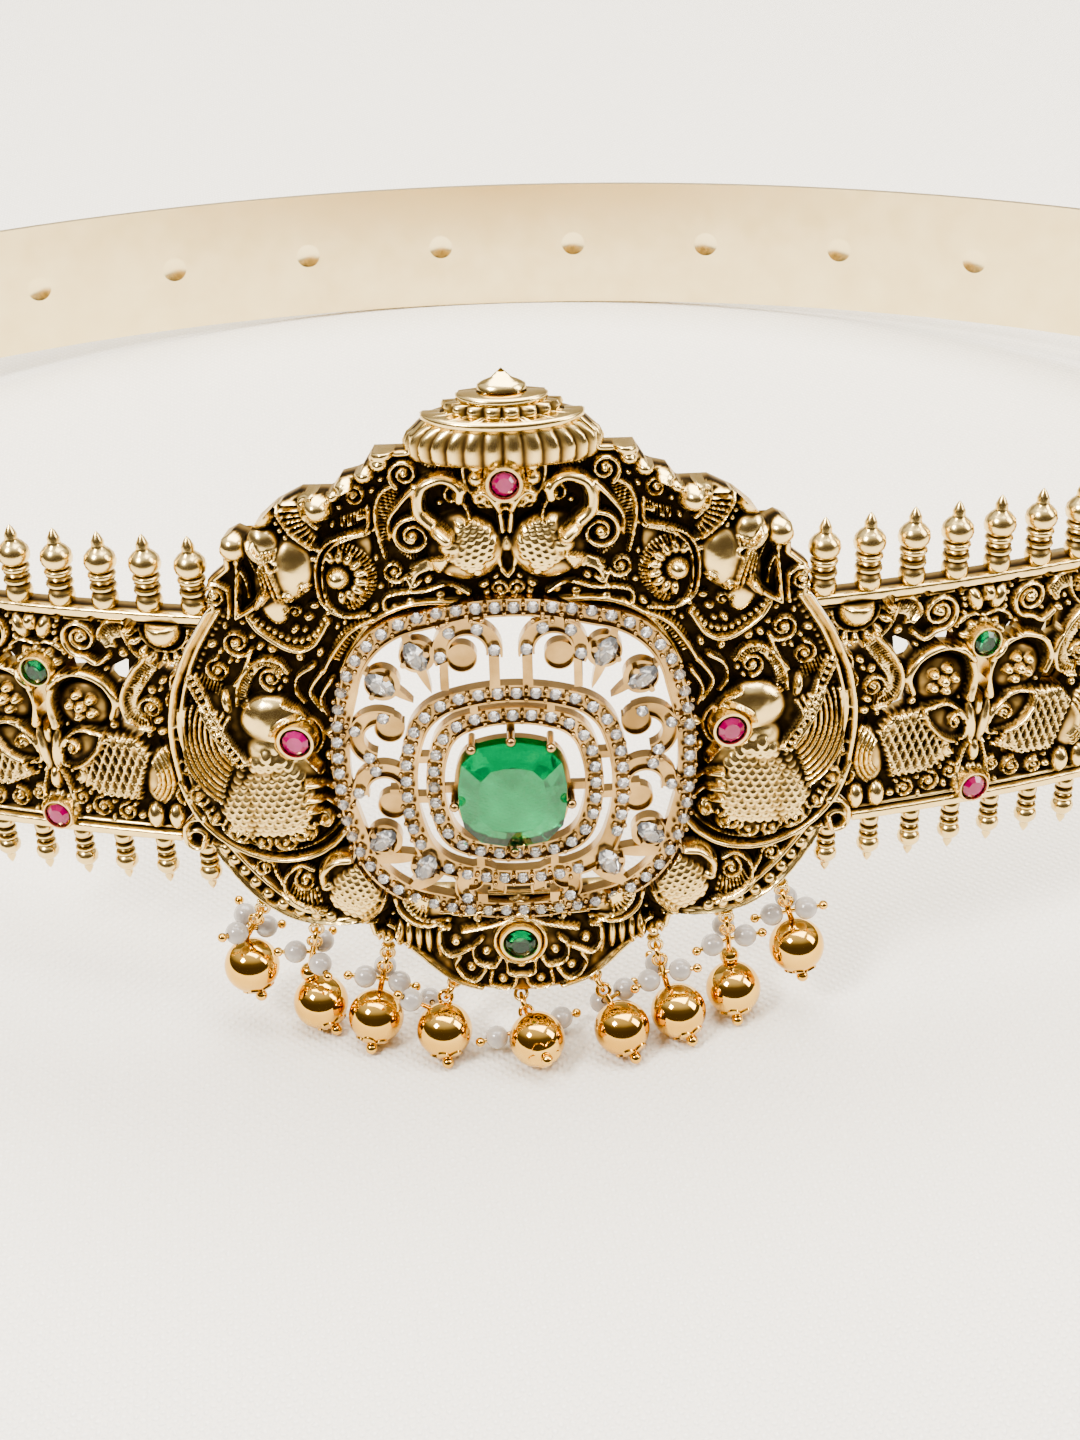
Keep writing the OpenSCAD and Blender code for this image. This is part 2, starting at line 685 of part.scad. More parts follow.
// A finial turned round its height, its foot at z = 0: balls, ringed collar and tip.
module finial(tall) {
    k = tall / finial_top;
    translate([0, 0, 1.3 * k]) sphere(1.35 * k);
    cylinder(h = 7 * k, r = 0.85 * k);
    translate([0, 0, 2.5 * k]) cylinder(h = 0.45 * k, r = 1.4 * k);
    translate([0, 0, 3.9 * k]) cylinder(h = 0.45 * k, r = 1.4 * k);
    for (a = [0 : 45 : 315]) rotate([0, 0, a]) translate([1 * k, 0, 2.6 * k])
        cylinder(h = 1.6 * k, r = 0.3 * k);
    translate([0, 0, 6 * k]) sphere(1.7 * k);
    translate([0, 0, 7.9 * k]) sphere(0.7 * k);
    translate([0, 0, 8.6 * k]) sphere(0.45 * k);
}

// Points a finial downwards from height v.
module hung(v) {
    translate([0, -rail_d / 2, v]) mirror([0, 0, 1]) children();
}

band_end = motif_mid + motif_half + 2.6;
finial_first = 36.1;
low_first = 43.5;

module band(s) {
    u0 = min(s * 30, s * band_end);
    u1 = max(s * 30, s * band_end);
    half_h = band_h / 2;
    rest() color(old_gold) difference() {
        union() {
            laid(s * motif_mid, 27, -half_h + 0.4, half_h - 0.4, -0.5, sheet_t)
                sheet(s > 0 ? 30 - motif_mid : -18.8, s > 0 ? 18.8 : motif_mid - 30);
            for (e = [-1, 1]) {
                raised(s * motif_mid + e * 9, sheet_t - 0.5, sheet_t + 0.9)
                    translate([s * motif_mid, 0]) flipped(e) scrolls();
                raised(s * motif_mid + e * 8, sheet_t - 0.55, sheet_t + 1)
                    translate([s * motif_mid, 0]) flipped(e) band_elephant();
            }
            for (v = [-half_h, half_h - rail_h]) wall(u0, u1, v, v + rail_h, -0.5, rail_d);
            for (e = [-1, 1]) {
                ball(s * (motif_mid + e * motif_half), 13.2, sheet_t - 0.2, 2.2);
                ball(s * (motif_mid + e * 5), 2, sheet_t - 0.4, 1.8);
            }
            for (v = stone_v) face(s * motif_mid, v, 1) cylinder(h = 2.6, r = 2.1);
            for (i = [0 : 7]) on_ring(s * (finial_first + i * finial_pitch))
                translate([0, -rail_d / 2, half_h - 0.2]) finial(finial_top);
            for (i = [0 : 5]) on_ring(s * (low_first + i * finial_pitch))
                hung(0.2 - half_h) finial(finial_low);
        }
        for (v = stone_v) face(s * motif_mid, v, 2.4) cylinder(h = 3, r = 1.5 + stone_gap);
        // room for the medallion
        face(0, 0, -4) linear_extrude(14) {
            room();
            translate([s * 1.5 * band_gap, 0]) room();
        }
        wall(u0 - 8, u1 + 8, -25, 27, -8, 0);
    }
}

// The medallion's outline without its opening.
module room() {
    polygon(edge);
    for (s = [-1, 1]) disc([s * 30.1, 24.6], 2);
}

module band_stone(s, v, tone) {
    rest() color(tone) face(s * motif_mid, v, sheet_t + 1.9)
        cut_stone(3, 3, 10, 0.5, 0.8, 0.6);
}

// Strip and clasp

strip_u = motif_mid + motif_half - 6;
clasp_a = clasp_l / side_r * 90 / PI;
strip_gap_a = 0.1;
dimple_ball = (dimple_r * dimple_r + dimple_d * dimple_d) / (2 * dimple_d);

// The ring's plan grown by o: four tangent arcs.
module oval(o) {
    join = (side_r + o) * sqrt(0.5);
    x = arc_step + join;
    y = join;
    translate([0, ring_mid_y]) {
        intersection() {
            translate([0, arc_step]) circle(front_r + o, $fn = 720);
            translate([0, -arc_step]) circle(front_r + o, $fn = 720);
            translate([-x, -front_r]) square([2 * x, 2 * front_r]);
        }
        for (e = [-1, 1]) translate([e * arc_step, 0]) circle(side_r + o, $fn = 360);
    }
}

// The strip's plan between two points seen from the ring's middle, in degrees from the front.
module strip_plan(a0, a1) {
    steps = 6;
    intersection() {
        difference() {
            oval(strip_in + strip_t);
            oval(strip_in);
        }
        translate([0, ring_mid_y]) polygon(concat([[0, 0]], [for (i = [0 : steps])
            let (a = a0 + (a1 - a0) * i / steps - 90) 3 * front_r * [cos(a), sin(a)]]));
    }
}

function seen_at(u) = let (p = spot(u, 0, 0)) atan2(p[0], ring_mid_y - p[1]);

module strip_long() {
    rest() color(gold) difference() {
        translate([0, 0, strip_v - strip_h / 2]) linear_extrude(strip_h)
            strip_plan(90 + strip_gap_a, 360 - seen_at(strip_u));
        for (i = [-3.5 : 3.5]) translate([0, back_mid_y, strip_v])
            rotate([0, 0, 90 - i * dimple_pitch * deg_mm])
                translate([front_r + strip_in + dimple_d - dimple_ball, 0, 0])
                    sphere(dimple_ball);
    }
}

module strip_short() {
    rest() color(gold) translate([0, 0, strip_v - strip_h / 2]) linear_extrude(strip_h)
        strip_plan(seen_at(strip_u), 90 - strip_gap_a);
}

module clasp() {
    wall_t = 0.9;
    fit = 0.15;
    rest() color(gold) translate([arc_step, ring_mid_y, strip_v]) rotate([0, 0, -clasp_a])
        rotate_extrude(angle = 2 * clasp_a, $fn = 360) translate([side_r + strip_in, 0])
            difference() {
                translate([-wall_t - fit, -strip_h / 2 - wall_t - fit])
                    square([strip_t + 2 * (wall_t + fit), strip_h + 2 * (wall_t + fit)]);
                translate([-fit, -strip_h / 2 - fit])
                    square([strip_t + 2 * fit, strip_h + 2 * fit]);
            }
}

// Drops

pearl_out = 2.2;
pearl_along = 1.2;
gap_small = 0.1;

// Place of a drop's pearls: distance along the stem, and out from it, clear of the bead.
function pearl_way(d) =
    let (length = norm(top_at(d) - eye_at(d)), first = 2 * ring_link_r + loop_r,
         // on the shortest drops the pins stand in the bead itself
         along = first + (length < first + 0.6 ? pearl_along
             : min(pearl_along, (length - first) / 2)),
         left = length + bead_r - 0.2 - along, reach = bead_r + pearl_r + 0.25)
    [along, max(pearl_out, sqrt(max(0, reach * reach - left * left)))];

// Frame of one pearl: z outwards along its pin, from the drop's stem.
module at_pearl(d, turn) {
    aimed(eye_at(d), top_at(d)) translate([0, 0, pearl_way(d)[0]]) rotate([0, 0, turn])
        rotate([0, 90, 0]) children();
}

module gold_bead(i) {
    d = drops[i];
    b = bead_at(d);
    tip = tip_of(d);
    length = norm(top_at(d) - eye_at(d));
    first = 2 * ring_link_r + loop_r;
    out = pearl_way(d)[1];
    rest() color(gold) {
        aimed(eye_at(d), top_at(d)) {
            translate([0, 0, 2 * ring_link_r]) rotate([90, 0, 0]) wire_ring(loop_r, eye_wire_r);
            translate([0, 0, first - 0.1]) cylinder(h = length - first + 0.1, r = 0.4);
            if (length > first + 4.2) translate([0, 0, length - 1.4]) sphere(1.25);
        }
        for (turn = d[6]) at_pearl(d, turn) {
            cylinder(h = out + pearl_r + 0.6, r = pin_r);
            translate([0, 0, out + pearl_r + 0.75]) sphere(0.6);
        }
        aimed(b, b + tip) {
            sphere(bead_r);
            // five-petalled cap and tip
            intersection() {
                sphere(bead_r + cap_t);
                linear_extrude(2 * bead_r) {
                    circle(1);
                    for (a = [0 : 72 : 288]) disc(1.3 * [cos(a), sin(a)], 0.85);
                }
            }
            translate([0, 0, bead_r + 0.6]) sphere(0.75);
        }
    }
}

module jump_ring(i) {
    d = drops[i];
    rest() color(gold) aimed(eye_at(d), top_at(d)) translate([0, 0, ring_link_r])
        rotate([0, 90, 0]) wire_ring(ring_link_r, ring_wire_r);
}

module pearls() {
    rest() color(pearl) for (d = drops, turn = d[6]) at_pearl(d, turn)
        translate([0, 0, pearl_way(d)[1]]) difference() {
            sphere(pearl_r);
            translate([0, 0, -pearl_r - 1]) cylinder(h = 2 * pearl_r + 2, r = pin_r + gap_small);
        }
}

medallion();
cz_frame();
pave_stones();
emerald();
ruby_stone(0, 33, 1.4, 6.1);  // ruby_crown
ruby_stone(-25.1, 0, 1.6, crest_h - 0.2);  // ruby_left_eye
ruby_stone(25.1, 0, 1.6, crest_h - 0.2);  // ruby_right_eye
bowl_emerald();
band(-1);  // band_left
band(1);  // band_right
band_stone(-1, stone_v[0], green);  // band_left_green
band_stone(-1, stone_v[1], ruby);  // band_left_red
band_stone(1, stone_v[0], green);  // band_right_green
band_stone(1, stone_v[1], ruby);  // band_right_red
strip_long();
strip_short();
clasp();
pearls();
for (i = [0 : 7]) clear_stone(i);
for (i = [0 : 8]) gold_bead(i);
for (i = [0 : 8]) jump_ring(i);
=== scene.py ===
import math
import bmesh
import bpy
import numpy as np
from mathutils import Matrix, Vector


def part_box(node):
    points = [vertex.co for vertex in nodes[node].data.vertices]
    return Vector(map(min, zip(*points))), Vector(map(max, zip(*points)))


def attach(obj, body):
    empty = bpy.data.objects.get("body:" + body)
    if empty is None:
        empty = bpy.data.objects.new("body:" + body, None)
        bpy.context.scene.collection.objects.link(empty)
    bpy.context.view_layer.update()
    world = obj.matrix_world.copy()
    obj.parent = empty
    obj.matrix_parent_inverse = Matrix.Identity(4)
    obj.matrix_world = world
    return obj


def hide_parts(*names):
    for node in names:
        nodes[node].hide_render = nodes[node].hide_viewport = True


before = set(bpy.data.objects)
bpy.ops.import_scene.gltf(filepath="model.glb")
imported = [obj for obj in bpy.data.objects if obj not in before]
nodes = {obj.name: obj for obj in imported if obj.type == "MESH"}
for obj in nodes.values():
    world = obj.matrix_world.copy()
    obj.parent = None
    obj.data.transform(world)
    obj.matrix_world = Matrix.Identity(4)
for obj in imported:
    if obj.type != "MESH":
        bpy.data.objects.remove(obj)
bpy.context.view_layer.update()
MM = 0.001

# The ring, in millimetres: u runs along the front, v up, h outwards from the inside of the
# bands. It leans back and stands on the floor with its middle over the origin.
FRONT_R = 200.0
SIDE_R = 62.0
LEAN = math.radians(9.5)
BACK_Y = -2 * (FRONT_R - SIDE_R) * math.sqrt(0.5)
STRIP_H, STRIP_V, STRIP_IN = 24.4, 3.0, 0.2
FLOOR = (-(BACK_Y + FRONT_R - STRIP_IN) * math.sin(LEAN)
         + (STRIP_V - STRIP_H / 2) * math.cos(LEAN))
MIDDLE = (0.5, -103.8)

PLATE = 1.6          # thickness of the cast plate
SHEET = 1.5          # thickness of the bands' sheet
GRID = 0.15          # spacing of the carved surfaces' points
BACK_STEP = 4        # how much coarser their backs are
SHARP = 72           # degrees from which an edge of them stays sharp
RAIL_D, RAIL_H = 2.8, 1.4
MOTIF_MID, MOTIF_HALF = 56.2, 16.2
MOTIF_REACH, BAND_REACH = 22.95, 15.75   # half the carved grid of a band
BAND_TOP, BAND_GAP = 15.5, 0.18
BAND_END = MOTIF_MID + MOTIF_HALF + 2.6
FINIAL_PITCH = 5.4


def stood(x, y, z):
    """Ring coordinates in millimetres to the leaning belt's place on the floor, in metres."""
    c, s = math.cos(LEAN), math.sin(LEAN)
    return np.stack([x - MIDDLE[0], y * c + z * s - MIDDLE[1], z * c - y * s - FLOOR],
                    -1) * MM


def place(u, v, h):
    """A point of the front from u, v and h."""
    u, v, h = np.broadcast_arrays(*(np.asarray(a, float) for a in (u, v, h)))
    a = u / FRONT_R
    return stood((FRONT_R + h) * np.sin(a), -(FRONT_R + h) * np.cos(a), v)


def axes_at(u, turn=0.0):
    """Rotation at u: x along the band, y up, z outwards, turned round z."""
    a = u / FRONT_R
    right = Vector((math.cos(a), math.sin(a), 0))
    out = Vector((math.sin(a), -math.cos(a), 0))
    m = Matrix((right, Vector((0, 0, 1)), out)).transposed()
    return Matrix.Rotation(-LEAN, 3, "X") @ m @ Matrix.Rotation(turn, 3, "Z")


# Carving

CAST_BLUR, CAST_GRAIN = 0.075, 0.0175    # rounding and unevenness of the cast surface
SLAB_SOFT = 0.8      # width of a raised area's rounded edge


def smooth(points, steps=7):
    """A curve through the points."""
    p = np.array(points, float)
    if len(p) < 3:
        return p
    q = np.vstack([2 * p[0] - p[1], p, 2 * p[-1] - p[-2]])
    t = np.linspace(0, 1, steps, endpoint=False)[:, None]
    out = [0.5 * (2 * q[i] + (q[i + 1] - q[i - 1]) * t
                  + (2 * q[i - 1] - 5 * q[i] + 4 * q[i + 1] - q[i + 2]) * t * t
                  + (3 * q[i] - q[i - 1] - 3 * q[i + 1] + q[i + 2]) * t ** 3)
           for i in range(1, len(q) - 2)]
    return np.vstack(out + [p[-1:]])


def spread(curve, count):
    """Points at even distances along a curve."""
    curve = np.asarray(curve, float)
    s = np.r_[0, np.cumsum(np.hypot(*np.diff(curve, axis=0).T))]
    t = np.linspace(0, s[-1], count)
    return np.stack([np.interp(t, s, curve[:, 0]), np.interp(t, s, curve[:, 1])], 1)


def arc(c, r, a0, a1, squash=1.0, steps=40):
    """Points round c from one angle to another."""
    a = np.radians(np.linspace(a0, a1, steps))
    return np.stack([c[0] + r * np.cos(a), c[1] + r * squash * np.sin(a)], 1)


def around(c, r, count, start=0):
    """Points at even distances round a circle."""
    a = np.radians(start + 360 / count * np.arange(count))
    return np.stack([c[0] + r * np.cos(a), c[1] + r * np.sin(a)], 1)


def whorl(c, r, start, turns):
    """A line winding in round c from radius r, starting at an angle; the sign of turns is its
    direction."""
    t = np.linspace(0, 1, 44)
    a = np.radians(start + 360 * turns * t)
    rr = r * (1 - 0.72 * t ** 0.8)
    return np.stack([c[0] + rr * np.cos(a), c[1] + rr * np.sin(a)], 1)


def inside(poly, u, v):
    """Whether points lie in a polygon."""
    p = np.asarray(poly, float)
    q = np.roll(p, -1, 0)
    hit = np.zeros(np.shape(u), bool)
    for (x0, y0), (x1, y1) in zip(p, q):
        if y0 != y1:
            cross = (y0 > v) != (y1 > v)
            hit ^= cross & (u < (x1 - x0) * (v - y0) / (y1 - y0) + x0)
    return hit


def far(points, u, v, closed=True):
    """Distance from a line of points."""
    p = np.asarray(points, float)
    ends = zip(p, np.roll(p, -1, 0)) if closed else zip(p[:-1], p[1:])
    best = np.full(np.shape(u), 1e9)
    for a, b in ends:
        d = b - a
        t = np.clip(((u - a[0]) * d[0] + (v - a[1]) * d[1]) / max(d @ d, 1e-9), 0, 1)
        best = np.minimum(best, np.hypot(u - a[0] - t * d[0], v - a[1] - t * d[1]))
    return best


def signed(poly, u, v):
    """Distance to a polygon, negative inside."""
    return np.where(inside(poly, u, v), -1, 1) * far(poly, u, v)


def blurred(a, sigma, step):
    n = max(1, int(round(3 * sigma / step)))
    k = np.exp(-0.5 * (np.arange(-n, n + 1) * step / sigma) ** 2)
    k /= k.sum()
    for axis in (0, 1):
        pad = [(0, 0), (0, 0)]
        pad[axis] = (n, n)
        b = np.pad(a, pad, mode="edge")
        a = sum(w * np.take(b, range(i, i + a.shape[axis]), axis) for i, w in enumerate(k))
    return a


class Carving:
    """Heights over u and v. Smooth forms rise from the plate, fine work from the forms."""

    def __init__(self, u0, u1, v0, v1, level):
        self.u, self.v = np.meshgrid(np.arange(u0, u1 + GRID, GRID),
                                     np.arange(v0, v1 + GRID, GRID))
        self.level = level
        self.body = np.full(self.u.shape, float(level))
        self.h = self.body.copy()

    def near(self, points, pad):
        """The part of the grid round some points: its slices, u and v."""
        p = np.asarray(points, float)
        lo = np.floor((p.min(0) - pad - (self.u[0, 0], self.v[0, 0])) / GRID).astype(int)
        hi = np.ceil((p.max(0) + pad - (self.u[0, 0], self.v[0, 0])) / GRID).astype(int) + 1
        lo = np.maximum(lo, 0)
        w = (slice(lo[1], max(hi[1], lo[1])), slice(lo[0], max(hi[0], lo[0])))
        return w, self.u[w], self.v[w]

    def form(self, c, a, b, turn, rise):
        """A smooth oval swelling."""
        w, u, v = self.near([c], max(a, b))
        t = math.radians(turn)
        x = (u - c[0]) * math.cos(t) + (v - c[1]) * math.sin(t)
        y = (v - c[1]) * math.cos(t) - (u - c[0]) * math.sin(t)
        k = np.clip(1 - (x / a) ** 2 - (y / b) ** 2, 0, 1)
        z = self.level + rise * np.sqrt(k)
        z = np.where(k > 0, z, 0)
        self.body[w] = np.maximum(self.body[w], z)
        self.h[w] = np.maximum(self.h[w], z)

    def slab(self, poly, rise):
        """A raised area with rounded edges."""
        w, u, v = self.near(poly, 0.2)
        d = np.clip(-signed(poly, u, v) / SLAB_SOFT, 0, 1)
        z = np.where(d > 0, self.level + rise * np.sqrt(1 - (1 - d) ** 2), 0)
        self.body[w] = np.maximum(self.body[w], z)
        self.h[w] = np.maximum(self.h[w], z)

    def ridge(self, points, width, rise, end=1.0, closed=False):
        """A rounded line; its width and height run to end times theirs at the far end."""
        p = np.asarray(points, float)
        w, u, v = self.near(p, width)
        if not u.size:
            return
        best = np.full(u.shape, 1e9)
        along = np.zeros(u.shape)
        q = np.vstack([p, p[:1]]) if closed else p
        s = np.r_[0, np.cumsum(np.hypot(*np.diff(q, axis=0).T))]
        for i in range(len(q) - 1):
            a, d = q[i], q[i + 1] - q[i]
            t = np.clip(((u - a[0]) * d[0] + (v - a[1]) * d[1]) / max(d @ d, 1e-9), 0, 1)
            e = np.hypot(u - a[0] - t * d[0], v - a[1] - t * d[1])
            hit = e < best
            best = np.where(hit, e, best)
            along = np.where(hit, (s[i] + t * (s[i + 1] - s[i])) / s[-1], along)
        k = 1 + (end - 1) * along
        half = width / 2 * k
        z = self.body[w] + rise * (0.35 + 0.65 * k) * np.sqrt(
            np.clip(1 - (best / half) ** 2, 0, 1))
        self.h[w] = np.where(best < half, np.maximum(self.h[w], z), self.h[w])

    def curve(self, points, width, rise, end=1.0):
        """A ridge along a smooth line through a few points."""
        self.ridge(smooth(points), width, rise, end)

    def bead(self, c, r, rise=None):
        w, u, v = self.near([c], r)
        k = 1 - ((u - c[0]) ** 2 + (v - c[1]) ** 2) / (r * r)
        z = self.body[w] + (r if rise is None else rise) * np.sqrt(np.clip(k, 0, 1))
        self.h[w] = np.where(k > 0, np.maximum(self.h[w], z), self.h[w])

    def beads(self, line, pitch, r, rise=None):
        c = np.asarray(line, float)
        n = max(2, int(round(np.hypot(*np.diff(c, axis=0).T).sum() / pitch)) + 1)
        for p in spread(c, n):
            self.bead(p, r, rise)

    def hatch(self, one, two, rise, pitch=0.42, width=0.26):
        """Fine ridges from one line across to another; lists of points are smoothed."""
        one, two = (smooth(a) if isinstance(a, list) else a for a in (one, two))
        n = max(2, int(round(np.hypot(*np.diff(one, axis=0).T).sum() / pitch)) + 1)
        for a, b in zip(spread(one, n), spread(two, n)):
            self.ridge([a, b], width, rise)

    def scales(self, poly, pitch, turn, rise):
        """Rows of lapped scales that point along an angle."""
        p = np.asarray(poly, float)
        t = math.radians(turn)
        d, e = np.array([math.cos(t), math.sin(t)]), np.array([-math.sin(t), math.cos(t)])
        mid = p.mean(0)
        n = int(np.abs(p - mid).max() / pitch * 1.6) + 2
        under = self.h.copy()
        r = 0.62 * pitch
        for j in range(-n, n + 1):
            for i in range(-n, n + 1):
                c = mid + 0.74 * pitch * j * d + pitch * (i + 0.5 * (j % 2)) * e
                if not inside(p, c[0], c[1]):
                    continue
                w, u, v = self.near([c], r * 1.15)
                x = (u - c[0]) * d[0] + (v - c[1]) * d[1]
                y = (u - c[0]) * e[0] + (v - c[1]) * e[1]
                k = (x / (1.15 * r)) ** 2 + (y / r) ** 2
                z = under[w] + rise * (0.55 + 0.45 * x / r) * np.clip(1.6 * (1 - k), 0, 1) ** 0.4
                self.h[w] = np.where(k < 1, np.maximum(self.h[w], z), self.h[w])

    def scroll(self, c, r, start, turns, width, rise, dot=True, lead=None):
        """A rolled scroll with a bead in its eye, and the line that leads into it."""
        line = whorl(c, r, start, turns)
        if lead is not None:
            line = np.vstack([smooth(list(lead) + [line[0], line[2]])[:-1], line[2:]])
        self.ridge(line, width, rise, 0.62)
        if dot:
            self.bead(c, 0.30 * r, rise)

    def fill(self, edge, seed):
        """Scrolls, buds and beads in what the drawing leaves plain, the largest first."""
        rng = np.random.default_rng(seed)
        for r, tries in ((1.7, 900), (1.25, 1600), (0.9, 2600), (0.6, 4200), (0.4, 5200)):
            spots = rng.random((tries, 3))
            for a, b, t in spots:
                i = int(a * (self.h.shape[0] - 1))
                j = int(b * (self.h.shape[1] - 1))
                n = int(round(1.1 * r / GRID))
                if edge[i, j] > -r:
                    continue
                w = self.h[max(i - n, 0):i + n + 1, max(j - n, 0):j + n + 1]
                if w.max() > self.level + 0.42:
                    continue
                c = (self.u[i, j], self.v[i, j])
                if r > 1:
                    self.scroll(c, r * 1.08, 360 * t, 1.4 if t > 0.5 else -1.4, 0.42 * r, 1.0)
                elif r > 0.8:
                    self.form(c, r * 1.15, 0.6 * r, 360 * t, 1.0)
                    self.ridge(arc(c, r, 360 * t, 360 * t + 220), 0.34, 0.8)
                else:
                    self.form(c, 1.15 * r, 0.85 * r, 360 * t, 0.5 + 0.8 * r)

    def finish(self, seed):
        """Softens the cast surface and returns each point's tone, 0 to 1: rubbed crests bright,
        hollows dark with patina plus painted shade.
        """
        rng = np.random.default_rng(seed)
        grain = blurred(rng.standard_normal(self.h.shape), 0.35, GRID)
        self.h = blurred(self.h, CAST_BLUR, GRID) + CAST_GRAIN * grain / grain.std()
        hollow = self.h - 0.5 * blurred(self.h, 0.4, GRID) - 0.5 * blurred(self.h, 1.2, GRID)

        def ramp(a, lo, hi):
            t = np.clip((a - lo) / (hi - lo), 0, 1)
            return t * t * (3 - 2 * t)

        # Low where hollow or near the plate: patina plus painted shade; high on the rubbed
        # crests.
        return ramp(hollow, -0.24, 0.14) * ramp(self.h - self.level, 0.08, 0.6)


def skin(name, u, v, h, edge, rub, mirrored=False):
    """The mesh of a carved surface: its front, walls along the edge and a plain back, which
    is coarser and ends at the walls without sharing their points."""
    sign = -1 if mirrored else 1

    def sheet(step):
        uu, vv, hh, ee, rr = (a[::step, ::step] for a in (u, v, h, edge, rub))
        n_v, n_u = uu.shape
        index = np.arange(n_v * n_u).reshape(n_v, n_u)
        quads = np.stack([index[:-1, :-1], index[:-1, 1:], index[1:, 1:], index[1:, :-1]], -1)
        hit = (ee < 0)
        keep = hit[:-1, :-1] | hit[:-1, 1:] | hit[1:, 1:] | hit[1:, :-1]
        quads = quads[keep]
        gv, gu = np.gradient(ee, GRID * step)
        size = np.maximum(gu * gu + gv * gv, 0.2)
        out = np.clip(ee, 0, 1.5 * GRID * step)
        px, py = uu - out * gu / size, vv - out * gv / size
        used, quads = np.unique(quads, return_inverse=True)
        quads = quads.reshape(-1, 4)
        pick = lambda a: a.reshape(-1)[used]
        return pick(px), pick(py), pick(hh), pick(rr), quads

    x, y, z, r, front = sheet(1)
    bx, by, _, _, rear = sheet(BACK_STEP)
    pairs = np.concatenate([front[:, [i, (i + 1) % 4]] for i in range(4)])
    key = np.sort(pairs, 1)
    _, first, count = np.unique(key[:, 0] * (len(x) + 1) + key[:, 1], return_index=True,
                                return_counts=True)
    rim = pairs[first[count == 1]]
    ids, low = np.unique(rim, return_inverse=True)
    low = low.reshape(rim.shape) + len(x)
    points = np.vstack([place(sign * x, y, z),
                        place(sign * x[ids], y[ids], 0),
                        place(sign * bx, by, 0)])
    walls = np.stack([rim[:, 1], rim[:, 0], low[:, 0], low[:, 1]], 1)
    faces = np.vstack([front, walls, rear[:, ::-1] + len(x) + len(ids)])
    if mirrored:
        faces = faces[:, ::-1]
    tone = np.concatenate([r, np.full(len(ids) + len(bx), 0.75)])
    mesh = bpy.data.meshes.new(name)
    mesh.vertices.add(len(points))
    mesh.vertices.foreach_set("co", points.astype(np.float32).ravel())
    mesh.loops.add(faces.size)
    mesh.loops.foreach_set("vertex_index", faces.astype(np.int32).ravel())
    mesh.polygons.add(len(faces))
    mesh.polygons.foreach_set("loop_start", np.arange(0, faces.size, 4, dtype=np.int32))
    mesh.polygons.foreach_set("use_smooth", np.ones(len(faces), bool))
    mesh.update(calc_edges=True)
    mesh.validate()
    layer = mesh.attributes.new("rub", "FLOAT", "POINT")
    layer.data.foreach_set("value", tone[:len(mesh.vertices)].astype(np.float32))
    mesh.set_sharp_from_angle(angle=math.radians(SHARP))
    piece = bpy.data.objects.new(name, mesh)
    bpy.context.scene.collection.objects.link(piece)
    return piece


# Materials

def material(name):
    mat = bpy.data.materials.new(name)
    mat.use_nodes = True
    tree = mat.node_tree
    shader = tree.nodes["Principled BSDF"]
    return mat, tree, shader


def ramp_node(tree, stops, value):
    node = tree.nodes.new("ShaderNodeValToRGB")
    bar = node.color_ramp
    while len(bar.elements) < len(stops):
        bar.elements.new(0.5)
    for e, (at, c) in zip(bar.elements, stops):
        e.position = at
        e.color = (*c, 1)
    tree.links.new(value, node.inputs["Fac"])
    return node.outputs["Color"]


def effect(name, inputs, output, kind):
    """The start of a shader group: its tree, its noise on object coordinates, its two ends."""
    tree = bpy.data.node_groups.new(name, "ShaderNodeTree")
    for label in inputs:
        tree.interface.new_socket(label, in_out="INPUT", socket_type="NodeSocketFloat")
    tree.interface.new_socket(output, in_out="OUTPUT", socket_type=kind)
    given = tree.nodes.new("NodeGroupInput")
    out = tree.nodes.new("NodeGroupOutput")
    spot = tree.nodes.new("ShaderNodeTexCoord")
    cloud = tree.nodes.new("ShaderNodeTexNoise")
    tree.links.new(spot.outputs["Object"], cloud.inputs["Vector"])
    for label in ("Scale", "Detail"):
        tree.links.new(given.outputs[label], cloud.inputs[label])
    return tree, cloud.outputs["Fac"], given.outputs, out.inputs[output]


def clouding():
    """Cloudy values that vary a colour or a polish."""
    tree, cloud, _, amount = effect("clouding", ("Scale", "Detail"), "Amount",
                                    "NodeSocketFloat")
    tree.links.new(cloud, amount)
    return tree


def metal_grain():
    """The fine grain of cast or rolled metal, as a normal."""
    tree, cloud, given, normal = effect(
        "metal_grain", ("Scale", "Detail", "Strength", "Depth"), "Normal", "NodeSocketVector")
    relief = tree.nodes.new("ShaderNodeBump")
    tree.links.new(cloud, relief.inputs["Height"])
    tree.links.new(given["Strength"], relief.inputs["Strength"])
    tree.links.new(given["Depth"], relief.inputs["Distance"])
    tree.links.new(relief.outputs["Normal"], normal)
    return tree


effects = {"clouding": clouding(), "metal_grain": metal_grain()}


def placed(tree, name, **values):
    """A shared effect in a material, with the material's own values."""
    node = tree.nodes.new("ShaderNodeGroup")
    node.node_tree = effects[name]
    for label, value in values.items():
        node.inputs[label].default_value = value
    return node.outputs[0]


def noise(tree, scale, detail=4.0):
    return placed(tree, "clouding", Scale=scale, Detail=detail)


def grained(tree, shader, scale, strength, depth):
    normal = placed(tree, "metal_grain", Scale=scale, Detail=3, Strength=strength, Depth=depth)
    tree.links.new(normal, shader.inputs["Normal"])


def grey(v):
    return (v, v, v)


